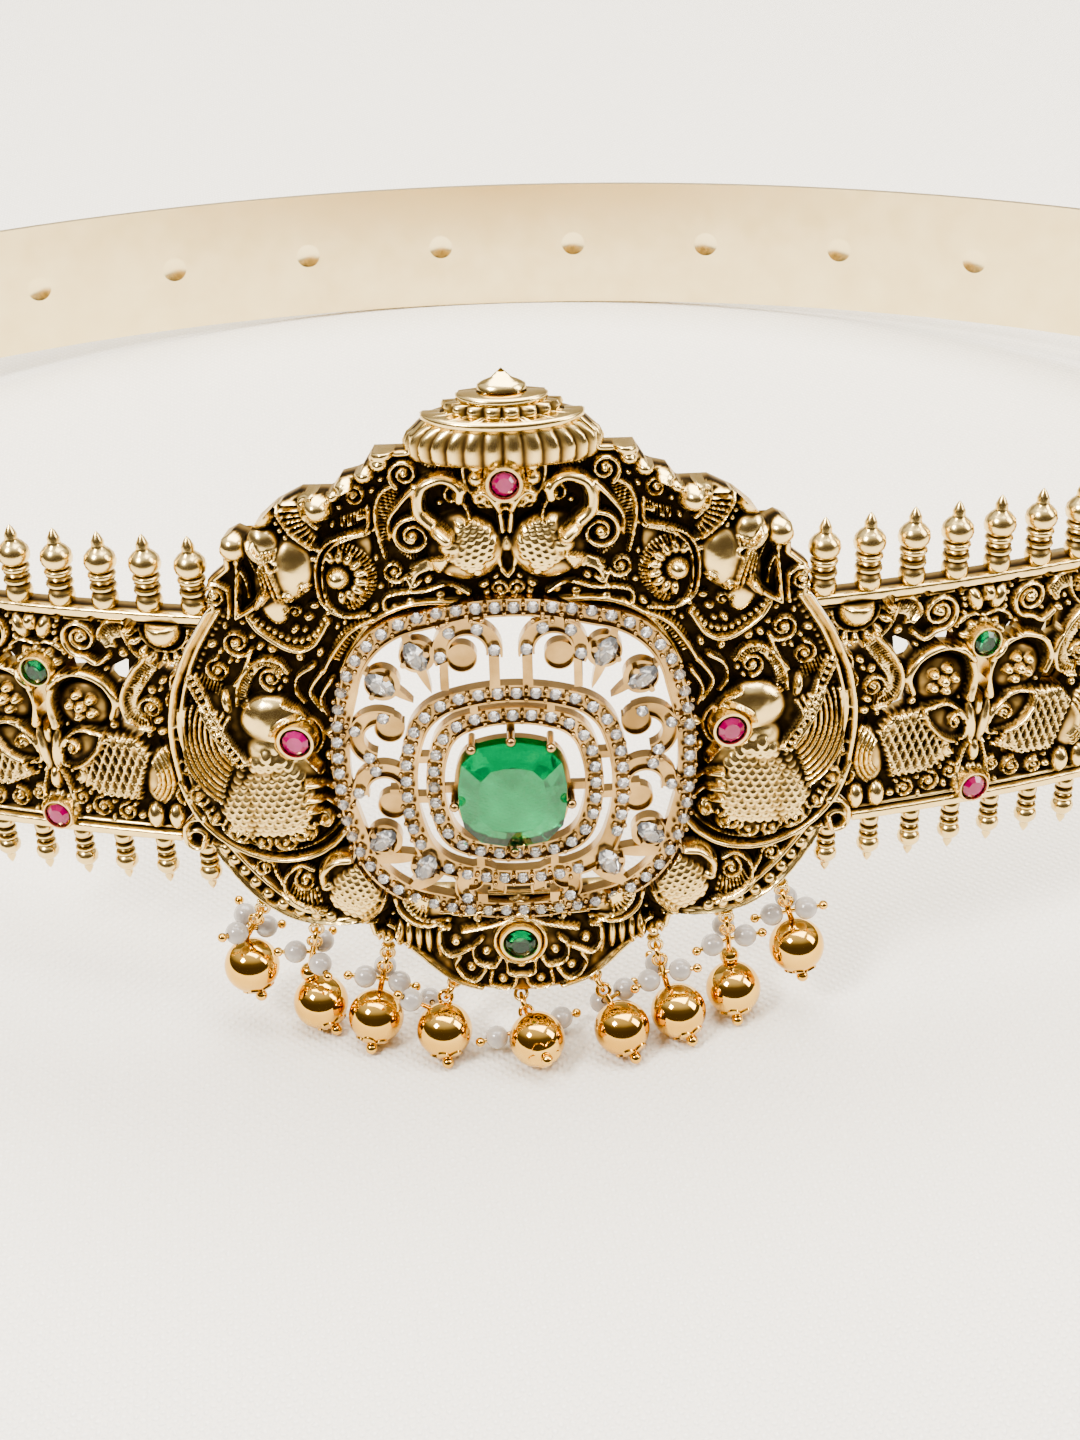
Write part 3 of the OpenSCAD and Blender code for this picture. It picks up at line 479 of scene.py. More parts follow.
def carved_gold():
    """Antique gold: dark in the hollows from patina plus painted shade, rubbed bright on the
    crests.
    """
    mat, tree, shader = material("antique_gold")
    rub = tree.nodes.new("ShaderNodeAttribute")
    rub.attribute_name = "rub"
    soil = tree.nodes.new("ShaderNodeMapRange")
    soil.inputs["To Min"].default_value = -0.14
    soil.inputs["To Max"].default_value = 0.14
    tree.links.new(noise(tree, 620), soil.inputs["Value"])
    add = tree.nodes.new("ShaderNodeMath")
    add.use_clamp = True
    tree.links.new(rub.outputs["Fac"], add.inputs[0])
    tree.links.new(soil.outputs["Result"], add.inputs[1])
    # Dark tones are patina plus painted shade in the hollows; bright ones are the rubbed gold.
    tone = ramp_node(tree, [(0, (0.018, 0.011, 0.004)), (0.25, (0.115, 0.068, 0.023)),
                            (0.58, (0.46, 0.31, 0.115)), (1, (0.86, 0.66, 0.31))],
                     add.outputs["Value"])
    tree.links.new(tone, shader.inputs["Base Color"])
    rough = ramp_node(tree, [(0, grey(0.62)), (0.45, grey(0.42)), (1, grey(0.20))],
                      add.outputs["Value"])
    tree.links.new(rough, shader.inputs["Roughness"])
    shader.inputs["Metallic"].default_value = 1
    grained(tree, shader, 2600, 0.25, 0.00004)
    return mat


def plain_metal(name, low, high, rough, grain, depth):
    """Polished metal with faint clouding and grain."""
    mat, tree, shader = material(name)
    cloud = noise(tree, 180)
    tree.links.new(ramp_node(tree, [(0.3, low), (0.7, high)], cloud),
                   shader.inputs["Base Color"])
    tree.links.new(ramp_node(tree, [(0.3, grey(rough * 1.35)), (0.7, grey(rough))], cloud),
                   shader.inputs["Roughness"])
    shader.inputs["Metallic"].default_value = 1
    grained(tree, shader, grain, 0.3, depth)
    return mat


def stone(name, low, high, rough, ior, through):
    mat, tree, shader = material(name)
    tree.links.new(ramp_node(tree, [(0.35, low), (0.65, high)], noise(tree, 260)),
                   shader.inputs["Base Color"])
    shader.inputs["Roughness"].default_value = rough
    shader.inputs["IOR"].default_value = ior
    shader.inputs["Transmission Weight"].default_value = through
    return mat


def pearl_coat():
    mat, tree, shader = material("pearl")
    # Painted shade: the pearls darken towards their rims as seen from the camera.
    rim = tree.nodes.new("ShaderNodeLayerWeight")
    rim.inputs["Blend"].default_value = 0.45
    tone = ramp_node(tree, [(0, (0.38, 0.34, 0.31)), (0.5, (0.50, 0.46, 0.42)),
                            (1, (0.20, 0.20, 0.22))], rim.outputs["Facing"])
    tree.links.new(tone, shader.inputs["Base Color"])
    tree.links.new(ramp_node(tree, [(0.3, grey(0.26)), (0.7, grey(0.16))], noise(tree, 420)),
                   shader.inputs["Roughness"])
    shader.inputs["Coat Weight"].default_value = 0.7
    shader.inputs["Coat Roughness"].default_value = 0.06
    return mat


def cloth(name, light, dark):
    """Cream cloth with a fine diagonal weave."""
    mat, tree, shader = material(name)
    spot = tree.nodes.new("ShaderNodeTexCoord")
    heights = []
    for turn in (38.0, -52.0):
        turned = tree.nodes.new("ShaderNodeMapping")
        turned.inputs["Rotation"].default_value = (0, 0, math.radians(turn))
        tree.links.new(spot.outputs["Object"], turned.inputs["Vector"])
        wave = tree.nodes.new("ShaderNodeTexWave")
        wave.inputs["Scale"].default_value = 330
        wave.inputs["Distortion"].default_value = 2.2
        wave.inputs["Detail Scale"].default_value = 3
        tree.links.new(turned.outputs["Vector"], wave.inputs["Vector"])
        heights.append(wave.outputs["Fac"])
    weave = tree.nodes.new("ShaderNodeMath")
    weave.operation = "MULTIPLY"
    for i in (0, 1):
        tree.links.new(heights[i], weave.inputs[i])
    tree.links.new(ramp_node(tree, [(0, dark), (0.8, light)], weave.outputs["Value"]),
                   shader.inputs["Base Color"])
    tree.links.new(ramp_node(tree, [(0.3, grey(0.9)), (0.7, grey(0.8))], noise(tree, 40)),
                   shader.inputs["Roughness"])
    relief = tree.nodes.new("ShaderNodeBump")
    relief.inputs["Strength"].default_value = 0.6
    relief.inputs["Distance"].default_value = 0.0003
    tree.links.new(weave.outputs["Value"], relief.inputs["Height"])
    tree.links.new(relief.outputs["Normal"], shader.inputs["Normal"])
    return mat


old_gold = carved_gold()
ball_gold = plain_metal("bead_gold", (0.72, 0.42, 0.10), (0.86, 0.56, 0.17), 0.07, 900, 0.00002)
edge_gold = plain_metal("frame_gold", (0.30, 0.185, 0.07), (0.62, 0.42, 0.19),
                        0.20, 1300, 0.00005)
strip_metal = plain_metal("strip_gold", (0.87, 0.72, 0.42), (0.90, 0.76, 0.47),
                          0.17, 420, 0.00001)
finish = {
    "antique_gold": old_gold,
    "frame_gold": edge_gold,
    "bead_gold": ball_gold,
    "strip_gold": strip_metal,
    "pave_stone": stone("pave_stone", (0.80, 0.82, 0.86), (0.95, 0.96, 1.0), 0.02, 2.1, 0.85),
    "clear_stone": stone("clear_stone", (0.84, 0.86, 0.90), (0.97, 0.98, 1.0), 0.01, 2.1, 0.9),
    "green_stone": stone("green_stone", (0.0, 0.17, 0.05), (0.0, 0.31, 0.10), 0.0, 1.58, 0.94),
    "red_stone": stone("red_stone", (0.42, 0.0, 0.10), (0.58, 0.0, 0.20), 0.02, 1.76, 0.4),
    "pearl": pearl_coat(),
}
for name, part in nodes.items():
    for slot in part.material_slots:
        for key, mat in finish.items():
            if slot.material and slot.material.name.startswith(key):
                slot.material = mat
                break


def rides(piece, mat, hides=()):
    piece.data.materials.clear()
    piece.data.materials.append(mat)
    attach(piece, "root")
    for node in hides:
        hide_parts(node)
    return piece


# Medallion

EDGE = [(0, 43.2), (2.2, 41.9), (4.7, 41.6), (4.9, 40.8), (6.2, 39.9), (8.4, 39.2),
        (10.2, 37.4), (10.6, 35.6), (14.2, 35.5), (15.6, 33.2), (17.8, 32.6), (19, 30.9),
        (22.5, 30.8), (25.4, 29.2), (27.6, 27.2), (28.8, 25.4), (30.2, 26), (31.6, 25.2),
        (32, 23.4), (32, 21.4), (34.1, 19.6), (34.3, 16), (37.4, 11), (39.8, 5.5),
        (41, -1.5), (40.3, -7.5), (39.2, -12), (40.5, -13.4), (40.6, -15.4), (39.2, -16.7),
        (36.6, -16.4), (34.9, -20), (31.4, -24.2), (27.2, -26.4), (22.8, -26.7),
        (18.8, -26), (18.2, -28.4), (15, -28.6), (12, -31.6), (8.6, -34.6), (4.4, -36.2),
        (0, -36.7), (-6, -36.7), (-6, 43.2)]


# The opening behind the stone frame: a disc cut off by a box
WINDOW_DISC_V, WINDOW_DISC_R = -5.5, 22.4
WINDOW_BOX_V, WINDOW_HALF_U, WINDOW_HALF_V = -3.1, 19.6, 18.5


def window_edge(u, v):
    """Distance to the opening behind the stone frame, negative inside it."""
    round_part = np.hypot(u, v - WINDOW_DISC_V) - WINDOW_DISC_R
    return np.maximum.reduce([round_part, np.abs(u) - WINDOW_HALF_U,
                              np.abs(v - WINDOW_BOX_V) - WINDOW_HALF_V])


HALF_U, REACH_V = 42, (-38, 45)
HOOK_HOLE_R, RIM_HALF, RIM_RISE = 0.7, 0.45, 0.75


def carve_medallion():
    """The medallion's right half, from the drawings of its figures."""
    k = Carving(0, HALF_U, *REACH_V, PLATE)
    S = smooth
    # double rails of the side edge
    side = S([(34.4, 15.8), (37.5, 10.6), (39.5, 5.4), (40.5, 0), (40, -6.6), (38.6, -11.6)])
    k.ridge(side, 1.0, 1.3)
    k.ridge(side - (1.25, 0), 0.7, 1.0)
    k.beads(side - (2.2, -0.2), 0.95, 0.42)

    # flower over the middle, its scrolls and leaves
    k.form((0, 33.2), 5, 5, 0, 1.6)
    for p in around((0, 33.2), 3.3, 12, 15):
        k.bead(p, 0.86, 0.8)
    k.ridge(arc((0, 33.2), 4.5, 0, 360), 0.5, 0.6, closed=True)
    k.curve([(0.4, 26), (0.9, 29.2), (2.2, 31), (3.2, 30.6), (3.2, 29.5)], 0.9, 1.2)
    k.scroll((2.3, 29.6), 1.0, 0, -1.2, 0.55, 0.9)
    k.hatch([(5.1, 32.8), (7, 34.4), (8.7, 34.4)],
            [(5.1, 32.6), (7, 33.2), (8.9, 33.8)], 0.7, 0.4, 0.26)
    k.curve([(0, 25.2), (0.8, 23.4), (0.7, 21.4), (0, 20.4)], 0.6, 0.9)
    k.bead((0, 24.2), 0.9)

    # swan: neck, head, body, wing, tail
    k.form((4.6, 24.2), 4.4, 4.2, 20, 2.1)
    k.scales([(1.2, 24.6), (2.2, 27.6), (5, 28), (7, 26), (6, 22.4), (3, 21.2)], 0.95, 250, 0.55)
    neck = S([(6.6, 26), (8.2, 27.2), (9.5, 28.8), (9, 31.4), (6.7, 32.4), (5, 31.2), (5, 29.9)])
    k.ridge(neck, 2.1, 2.2, 0.75)
    k.scroll((5.6, 30.3), 1.2, 90, -1.1, 0.6, 1.2)
    k.curve([(4.4, 29.2), (3.9, 27.8), (4.3, 27.2)], 0.7, 1.5, 0.4)
    k.form((6.1, 24.6), 1.7, 1.5, 0, 2.9)
    for i in range(6):
        b = 0.75 * i
        k.curve([(6.4 + 0.2 * i, 23.6 - b * 0.5), (8.6 + 0.25 * i, 22.8 - b * 0.45),
                 (10.8 + 0.1 * i, 21.6 - b * 0.9)], 0.62, 1.3, 0.5)
    k.scroll((10.3, 25.5), 2.5, 120, -1.6, 0.85, 1.5)
    k.hatch([(9.4, 23.4), (10.6, 22.6), (12, 23.6)],
            [(9.9, 24.6), (10.6, 24.1), (11.2, 24.6)], 0.6, 0.42, 0.25)
    k.scroll((12.6, 21.2), 1.5, -150, 1.4, 0.6, 1.1,
             lead=[(9.8, 20.0), (10.6, 19.4)])
    k.hatch([(10.3, 20.5), (13.2, 20.4)], [(10.6, 19.3), (13.4, 19.2)], 0.6, 0.4, 0.24)

    # S leaf beside the neck
    k.scroll((10.9, 32.9), 1.8, -60, 1.5, 0.75, 1.4)
    k.curve([(9.8, 31.5), (11.5, 29.5), (12.8, 27.5), (12.9, 25)], 1.0, 1.6, 0.5)
    k.curve([(12.2, 31.6), (13.6, 30.6), (14.3, 28.5), (14.1, 25.5), (13.5, 23)], 0.6, 1.2)
    k.hatch([(11.6, 31.0), (12.2, 29.4), (13.1, 27.4), (13.2, 25.2)],
            [(12.8, 31.4), (13.8, 29.8), (14.2, 27.6), (13.9, 25.0)], 0.8)
    for c, a, b, r in (((13.2, 35.1), 1.5, 1.0, 1.8), ((13.5, 34.1), 1.1, 0.9, 2.0),
                       ((15.2, 32.8), 1.2, 1.0, 2.0), ((17.6, 31.6), 1.3, 0.9, 1.9),
                       ((18.8, 30.4), 1.0, 0.8, 1.9)):
        k.form(c, a, b, -20, r)
    k.scroll((16.6, 30.3), 1.45, 20, 1.4, 0.6, 1.2)
    k.hatch([(15.2, 29), (16.4, 28.2), (18.2, 27.6)], [(15.4, 27.7), (16.6, 27), (18, 26.4)], 0.9)

    # elephant's ear with its flower
    ear = S([(15, 28.5), (15.4, 26.5), (18, 25.6), (20, 24.6), (21.2, 22.4), (21.3, 19),
             (20.6, 17), (18.6, 15.8), (16.4, 16)])
    k.slab([(15, 28), (15.6, 26.4), (18, 25.4), (20, 24.4), (21, 22.4), (21.1, 19), (20.4, 17),
            (18.5, 16), (16.4, 16.2), (15.2, 20), (14.8, 24)], 0.5)
    k.ridge(ear, 0.6, 1.5)
    k.ridge(ear - (0.75, 0.2), 0.42, 1.1)
    k.form((18.9, 20.6), 1.5, 1.5, 0, 2.6)
    for i in range(9):
        a = math.radians(72 + 24 * i)
        b = np.array([18.9 + 2.5 * math.cos(a), 20.6 + 2.5 * math.sin(a)])
        k.form(b, 1.05, 0.62, 72 + 24 * i, 1.55)
    k.hatch(arc((18.9, 20.6), 3.3, 95, 255), arc((18.9, 20.6), 4.2, 95, 255), 0.9, 0.42, 0.27)

    # elephant's head, crown, trunk and tusk
    k.form((20.6, 29), 1.8, 1.8, 0, 3.0)
    k.curve([(20.8, 31), (22.4, 30), (22.2, 28), (20.8, 26.6)], 0.7, 1.5)
    k.slab([(22.2, 29.6), (24.6, 29.9), (25.4, 28.6), (23.8, 25.8), (21.4, 24), (20.8, 25.6)],
           1.0)
    k.hatch([(22.4, 29.5), (22.3, 27.6), (21.1, 25.4)],
            [(25.1, 29.6), (24.5, 27.2), (21.8, 24.3)], 0.9, 0.55, 0.36)
    k.curve([(25.2, 29.4), (24.6, 27.4), (23, 25.4), (20.9, 24)], 0.6, 1.6)
    k.beads(S([(25.9, 29), (25, 26.3), (23.7, 24.6), (22.3, 23.5), (21.5, 22.9)]), 1.0, 0.5, 1.4)
    k.form((27.2, 28.0), 1.8, 1.7, 0, 2.6)
    k.form((24.6, 21.4), 3.3, 4.2, 15, 2.5)
    k.form((26.9, 24.6), 2.1, 2.6, -20, 2.5)
    k.hatch([(25.4, 24.3), (27.6, 24)], [(25.7, 23.2), (27.7, 22.9)], 0.5)
    k.ridge(arc((26.3, 22.4), 0.9, 0, 360, 0.7), 0.35, 0.6, closed=True)
    trunk = S([(28, 24.8), (26.5, 22.5), (25.6, 20), (25.3, 17.4)])
    for i in range(5):
        k.ridge(trunk + (0.62 * i, 0.15 * i), 0.5, 1.2, 0.8)
    k.form((26.6, 18.6), 2.0, 4.4, -8, 1.9)
    tusk = S([(27, 19), (28.6, 17), (30.9, 15.3)])
    k.ridge(tusk, 1.4, 2.6, 0.4)
    k.curve([(29.8, 24.4), (30.4, 20), (30.9, 15.3)], 0.7, 1.6)
    k.form((30.5, 24), 1.9, 1.9, 0, 2.4)
    k.curve([(30.4, 22), (29.4, 20), (29.2, 18)], 0.6, 1.2)
    for c in ((22.2, 19.2), (24.6, 18.2), (24.2, 16)):
        k.scroll(c, 0.9, 0, 1.2, 0.4, 0.9)
    cres = S([(20.4, 15), (22.4, 12), (25, 11.4), (28.4, 13.6), (29.6, 15.4)])
    k.ridge(cres, 0.8, 1.5)
    k.beads(cres + (0, 1.0), 0.85, 0.4, 0.9)
    k.scroll((31.3, 12), 1.9, -150, 1.5, 0.7, 1.4, lead=[(32, 6.6), (31, 8)])
    k.scroll((33.3, 17.8), 1.7, 160, -1.5, 0.65, 1.3, lead=[(31.9, 15.2), (31.7, 16.4)])

    # collar of the frame's opening
    top = S([(0, 17), (4, 17.2), (9.4, 17.3), (13, 16.4), (16, 14.4), (18, 11.4), (19.4, 8.6)])
    k.ridge(top, 0.8, 1.0)
    k.scroll((1.1, 18.9), 1.0, 200, -1.2, 0.5, 1.0, lead=[(3.8, 17.6), (2.4, 17.4)])
    k.curve([(4.4, 18.4), (6.6, 19.6), (9.4, 18.8), (12, 18.6), (13.8, 18), (14, 16.6)], 0.6, 1.1)
    for c in ((11, 17.4), (12.8, 16.6), (5.4, 18.6), (7.6, 18.2)):
        k.bead(c, 0.62)
    k.curve([(15.6, 15.2), (18, 13.8), (20, 11.2), (21.4, 8.6)], 0.7, 1.3)
    k.hatch([(15.8, 14.4), (17.8, 12.8), (19.6, 10)],
            [(16.6, 15.4), (19, 13.6), (20.8, 10.6)], 0.8, 0.5, 0.3)

    # peacock: head, eye, beak, crest
    k.form((28, 1.9), 4.3, 3.6, 0, 2.6)
    k.ridge(arc((25.1, 0), 2.95, 20, 340), 0.42, 0.8)
    k.curve([(26.2, 4.6), (24.2, 3.4), (23.2, 0.6), (23.6, -1.8)], 0.55, 1.2)
    k.slab([(24.6, -1.8), (23.5, -1.7), (22.2, -3.6), (22.2, -4.8), (23.6, -4.4), (25, -3)], 1.5)
    k.curve([(24, -2.2), (23, -3.6), (22.4, -4.5)], 0.4, 1.1)
    k.form((27.4, -3.4), 3.6, 2.6, -30, 2.2)
    for a, b, c, d in (((21.6, 8.6), (22.6, 7.2), (23.2, 5.6), (22, 3.4)),
                       ((22.6, 9.4), (24.4, 8), (24.9, 6), (24, 4.4)),
                       ((20.6, 7.6), (21.6, 6), (22, 4.6), (21.4, 2.8))):
        k.curve([a, b, c, d], 0.8, 1.5, 0.5)
    k.scroll((27.7, 7.5), 1.5, -90, 1.4, 0.6, 1.3)
    plume = S([(25.6, 8.4), (26.6, 9.8), (28.6, 10), (30.4, 8.6), (31.6, 6.4), (32, 4)])
    k.ridge(plume, 0.6, 1.5)
    k.hatch(plume,
            [(26.6, 8), (27.4, 8.8), (28.6, 8.9), (29.6, 7.8), (30.6, 5.8), (30.8, 4)], 1.0)
    k.scroll((33.9, 8.2), 1.6, 90, -1.5, 0.55, 1.2)
    k.hatch([(33.8, 6.3), (36, 7.4)], [(34.2, 5), (36.6, 6)], 0.7)
    k.form((33.2, 4.2), 0.7, 1.7, -10, 1.9)

    # wing, breast and feathers
    k.form((34, -3.4), 5.2, 9.6, 12, 1.5)
    band = S([(31.2, -3.2), (33.6, 0.5), (35.6, 4.4), (36.8, 7.4)])
    k.ridge(band, 0.5, 1.2)
    k.ridge(band + (1.1, -0.5), 0.5, 1.2)
    k.beads(band + (0.55, -0.25), 0.9, 0.42, 1.2)
    for i in range(9):
        r = 3.2 + 0.72 * i
        line = arc((30.6, 0), r, 40 - 3.2 * i, -52 - 1.2 * i, 1.15)
        k.ridge(line, 0.58, 1.0, 0.8)
    k.form((27.8, -8), 5.4, 8.2, 12, 2.5)
    k.form((28.6, -2.2), 3.4, 4.4, 12, 2.6)
    k.form((31.6, -9.4), 3.6, 6.2, 24, 2.0)
    k.scales([(25.4, -2.6), (28, -1.6), (31.2, -2.4), (33.6, -6.4), (35.2, -10), (33.8, -12.8),
              (30, -13.6), (25.4, -12.2), (23.4, -8)], 1.1, 262, 0.66)
    for i, c in enumerate(((22.9, -11), (25, -12.9), (27.5, -14.2), (30.5, -14.3),
                           (33.2, -13.3), (35.8, -11.4), (37.7, -8.6))):
        a = -150 + 20 * i
        k.form(c, 1.35, 1.05, a, 1.5)
        k.ridge(arc(c, 1.15, a - 120, a + 120), 0.5, 0.9)
        k.bead(c, 0.42, 1.0)
    for p in ([(24, -5.6), (22.6, -6), (21.4, -7)], [(24, -7.6), (22.4, -8.2), (21.2, -9.4)],
              [(24, -9.2), (22.4, -10)]):
        k.curve(p, 1.1, 1.6, 0.4)
    k.scroll((39.4, -0.6), 1.3, 100, -1.2, 0.5, 1.0)
    k.scroll((39.2, -5.2), 1.1, 100, -1.2, 0.45, 1.0)
    k.curve([(20, -12.4), (22, -14.8), (25, -16.6), (29, -17.2), (33, -16.2), (36.5, -13.8),
             (38.8, -10.6), (40, -7)], 1.0, 1.5)
    k.curve([(20.4, -11), (22.6, -13.6), (25.4, -15.4), (29, -15.9), (32.6, -15), (35.8, -12.8),
             (37.6, -10)], 0.4, 0.9)

    # lower panel: scaled breast, neck and fan
    k.form((19, -20.6), 4.6, 5.2, 20, 2.2)
    k.form((21.4, -18), 2.6, 3.2, 30, 1.9)
    k.scales([(16, -17.2), (20, -16.8), (22.4, -19), (22.6, -23), (19.6, -25.2), (16.4, -23)],
             1.0, 285, 0.6)
    k.curve([(15.6, -19), (16.4, -22.6), (19, -25.4)], 0.6, 1.6)
    k.curve([(19.2, -15.8), (21.6, -16), (23.2, -17.8), (23.4, -19.4)], 1.5, 2.2, 0.8)
    k.form((23, -20.2), 1.2, 1.0, -30, 2.6)
    k.form((26, -21.4), 2.8, 3.4, -30, 1.2)
    k.scroll((25.6, -19.8), 1.4, 60, -1.4, 0.55, 1.2)
    k.hatch([(24.4, -20.9), (25.8, -21.4), (27.2, -20.4)],
            [(24, -23.2), (25.8, -23.4), (27.8, -21.6)], 0.8, 0.42, 0.27)
    k.curve([(24.6, -18.6), (26.4, -18), (28, -19.4), (28.2, -21.6), (26.4, -23.4),
             (23.6, -24.4)], 0.6, 1.3)
    k.scroll((30.8, -18.7), 1.3, 150, -1.4, 0.55, 1.2, lead=[(28.8, -20.6), (29.4, -19.4)])
    k.curve([(24, -25), (28, -22.9), (31.6, -19.5), (35.3, -14.9)], 0.8, 1.4)
    for c in ((23.2, -25.5), (25, -25.4), (27, -25), (29, -24), (30.8, -22.6), (32.2, -21),
              (33.4, -19.4), (34.5, -17.9), (35.5, -16.4)):
        k.bead(c, 0.85, 1.0)
    k.curve([(17.6, -26), (21, -26.4), (25, -26.4), (28.6, -25.4), (32.4, -22.6), (35.4, -18.6),
             (37, -15.6)], 0.6, 1.1)
    hook = S([(37.6, -12), (39.4, -12.4), (40.3, -14), (39.9, -16), (38.4, -16.3), (37.9, -15)])
    k.ridge(hook, 0.9, 1.4)

    # bowl: rim, petals, flutes and shells
    k.form((0, -29.6), 11.5, 7.4, 0, 1.5)
    k.ridge(arc((0, -28.2), 3.1, 0, 360), 0.6, 0.9, closed=True)
    loops = (([(-1.6, -30.6), (-1.5, -32.6), (0, -33.3), (1.6, -32.8), (1.8, -30.8)],
              (0.1, -31.7)),
             ([(0.6, -33.6), (1, -35), (2.2, -35.5), (3.8, -34.8), (3.6, -32.8)], (2.3, -34)),
             ([(2.6, -30.8), (3.4, -31.9), (5.4, -31.2), (5.7, -29), (4.7, -27.8)], (4.2, -29.8)),
             ([(4.4, -32.4), (5.6, -34.2), (7, -33.8), (8, -31.8), (7.4, -30.4)], (6.1, -32.2)),
             ([(6.3, -29.2), (8.5, -30.4), (9.6, -29.4), (9.8, -26.9), (8.6, -26.4)],
              (7.9, -28.3)))
    for line, c in loops:
        k.curve(line, 0.62, 1.2)
        k.form(c, 0.85, 0.8, 0, 2.2)
    k.curve([(0, -24), (2, -25.2), (4.6, -26), (7, -26.6)], 0.7, 1.4)
    k.curve([(0, -22.6), (2.6, -23.4), (6, -24.2), (9.6, -24.4)], 0.9, 1.3)
    k.scroll((5.2, -24.9), 0.9, 0, 1.2, 0.4, 1.0)
    shell = S([(9.4, -26), (12.4, -25.6), (14.6, -23.4), (14.8, -20.6), (14.3, -19.2)])
    k.form((11.6, -22.8), 3.6, 3.6, 0, 1.6)
    k.ridge(shell, 0.7, 1.5)
    k.ridge(shell - (0.9, -0.5), 0.42, 1.0)
    for a in range(-80, 26, 11):
        t = math.radians(a)
        d = np.array([math.cos(t), math.sin(t)])
        c = np.array([10.8, -21.2])
        k.ridge([c + 0.8 * d, c + 3.3 * d], 0.4, 0.8)
    k.scroll((10.8, -21), 0.9, 0, 1.2, 0.5, 1.1)
    for i, u in enumerate((9.9, 11.2, 12.4, 13.6, 14.6)):
        k.form((u, -28.6 + 0.35 * i), 0.62, 2.9 - 0.3 * i, 0, 1.7)
    k.curve([(15.4, -27.8), (12.6, -30.6), (9, -34.2), (5, -35.6)], 0.8, 1.2)
    k.scroll((16.4, -28), 1.9, 100, 1.2, 0.75, 1.5, dot=False)
    k.form((16.2, -27.9), 0.9, 0.9, 0, 2.4)
    e = np.maximum(signed(EDGE, k.u, k.v), -window_edge(k.u, k.v))
    # hole in the hook at the lower corner
    e = np.maximum(e, HOOK_HOLE_R - np.hypot(k.u - 38.9, k.v + 15.2))
    # raised line along the cut edge
    rim = np.clip(1 - ((e + RIM_HALF) / RIM_HALF) ** 2, 0, 1)
    k.h = np.where(e < 0, np.maximum(k.h, k.level + RIM_RISE * np.sqrt(rim)), k.h)
    k.fill(e, 31)
    # sockets of the stones
    for c, r in (((25.1, 0), 2.35), ((0, 33.0), 2.3), ((0, -28.2), 2.65)):
        d = np.hypot(k.u - c[0], k.v - c[1])
        k.h = np.where(d < r, k.level + 0.6, k.h)
    return k, e


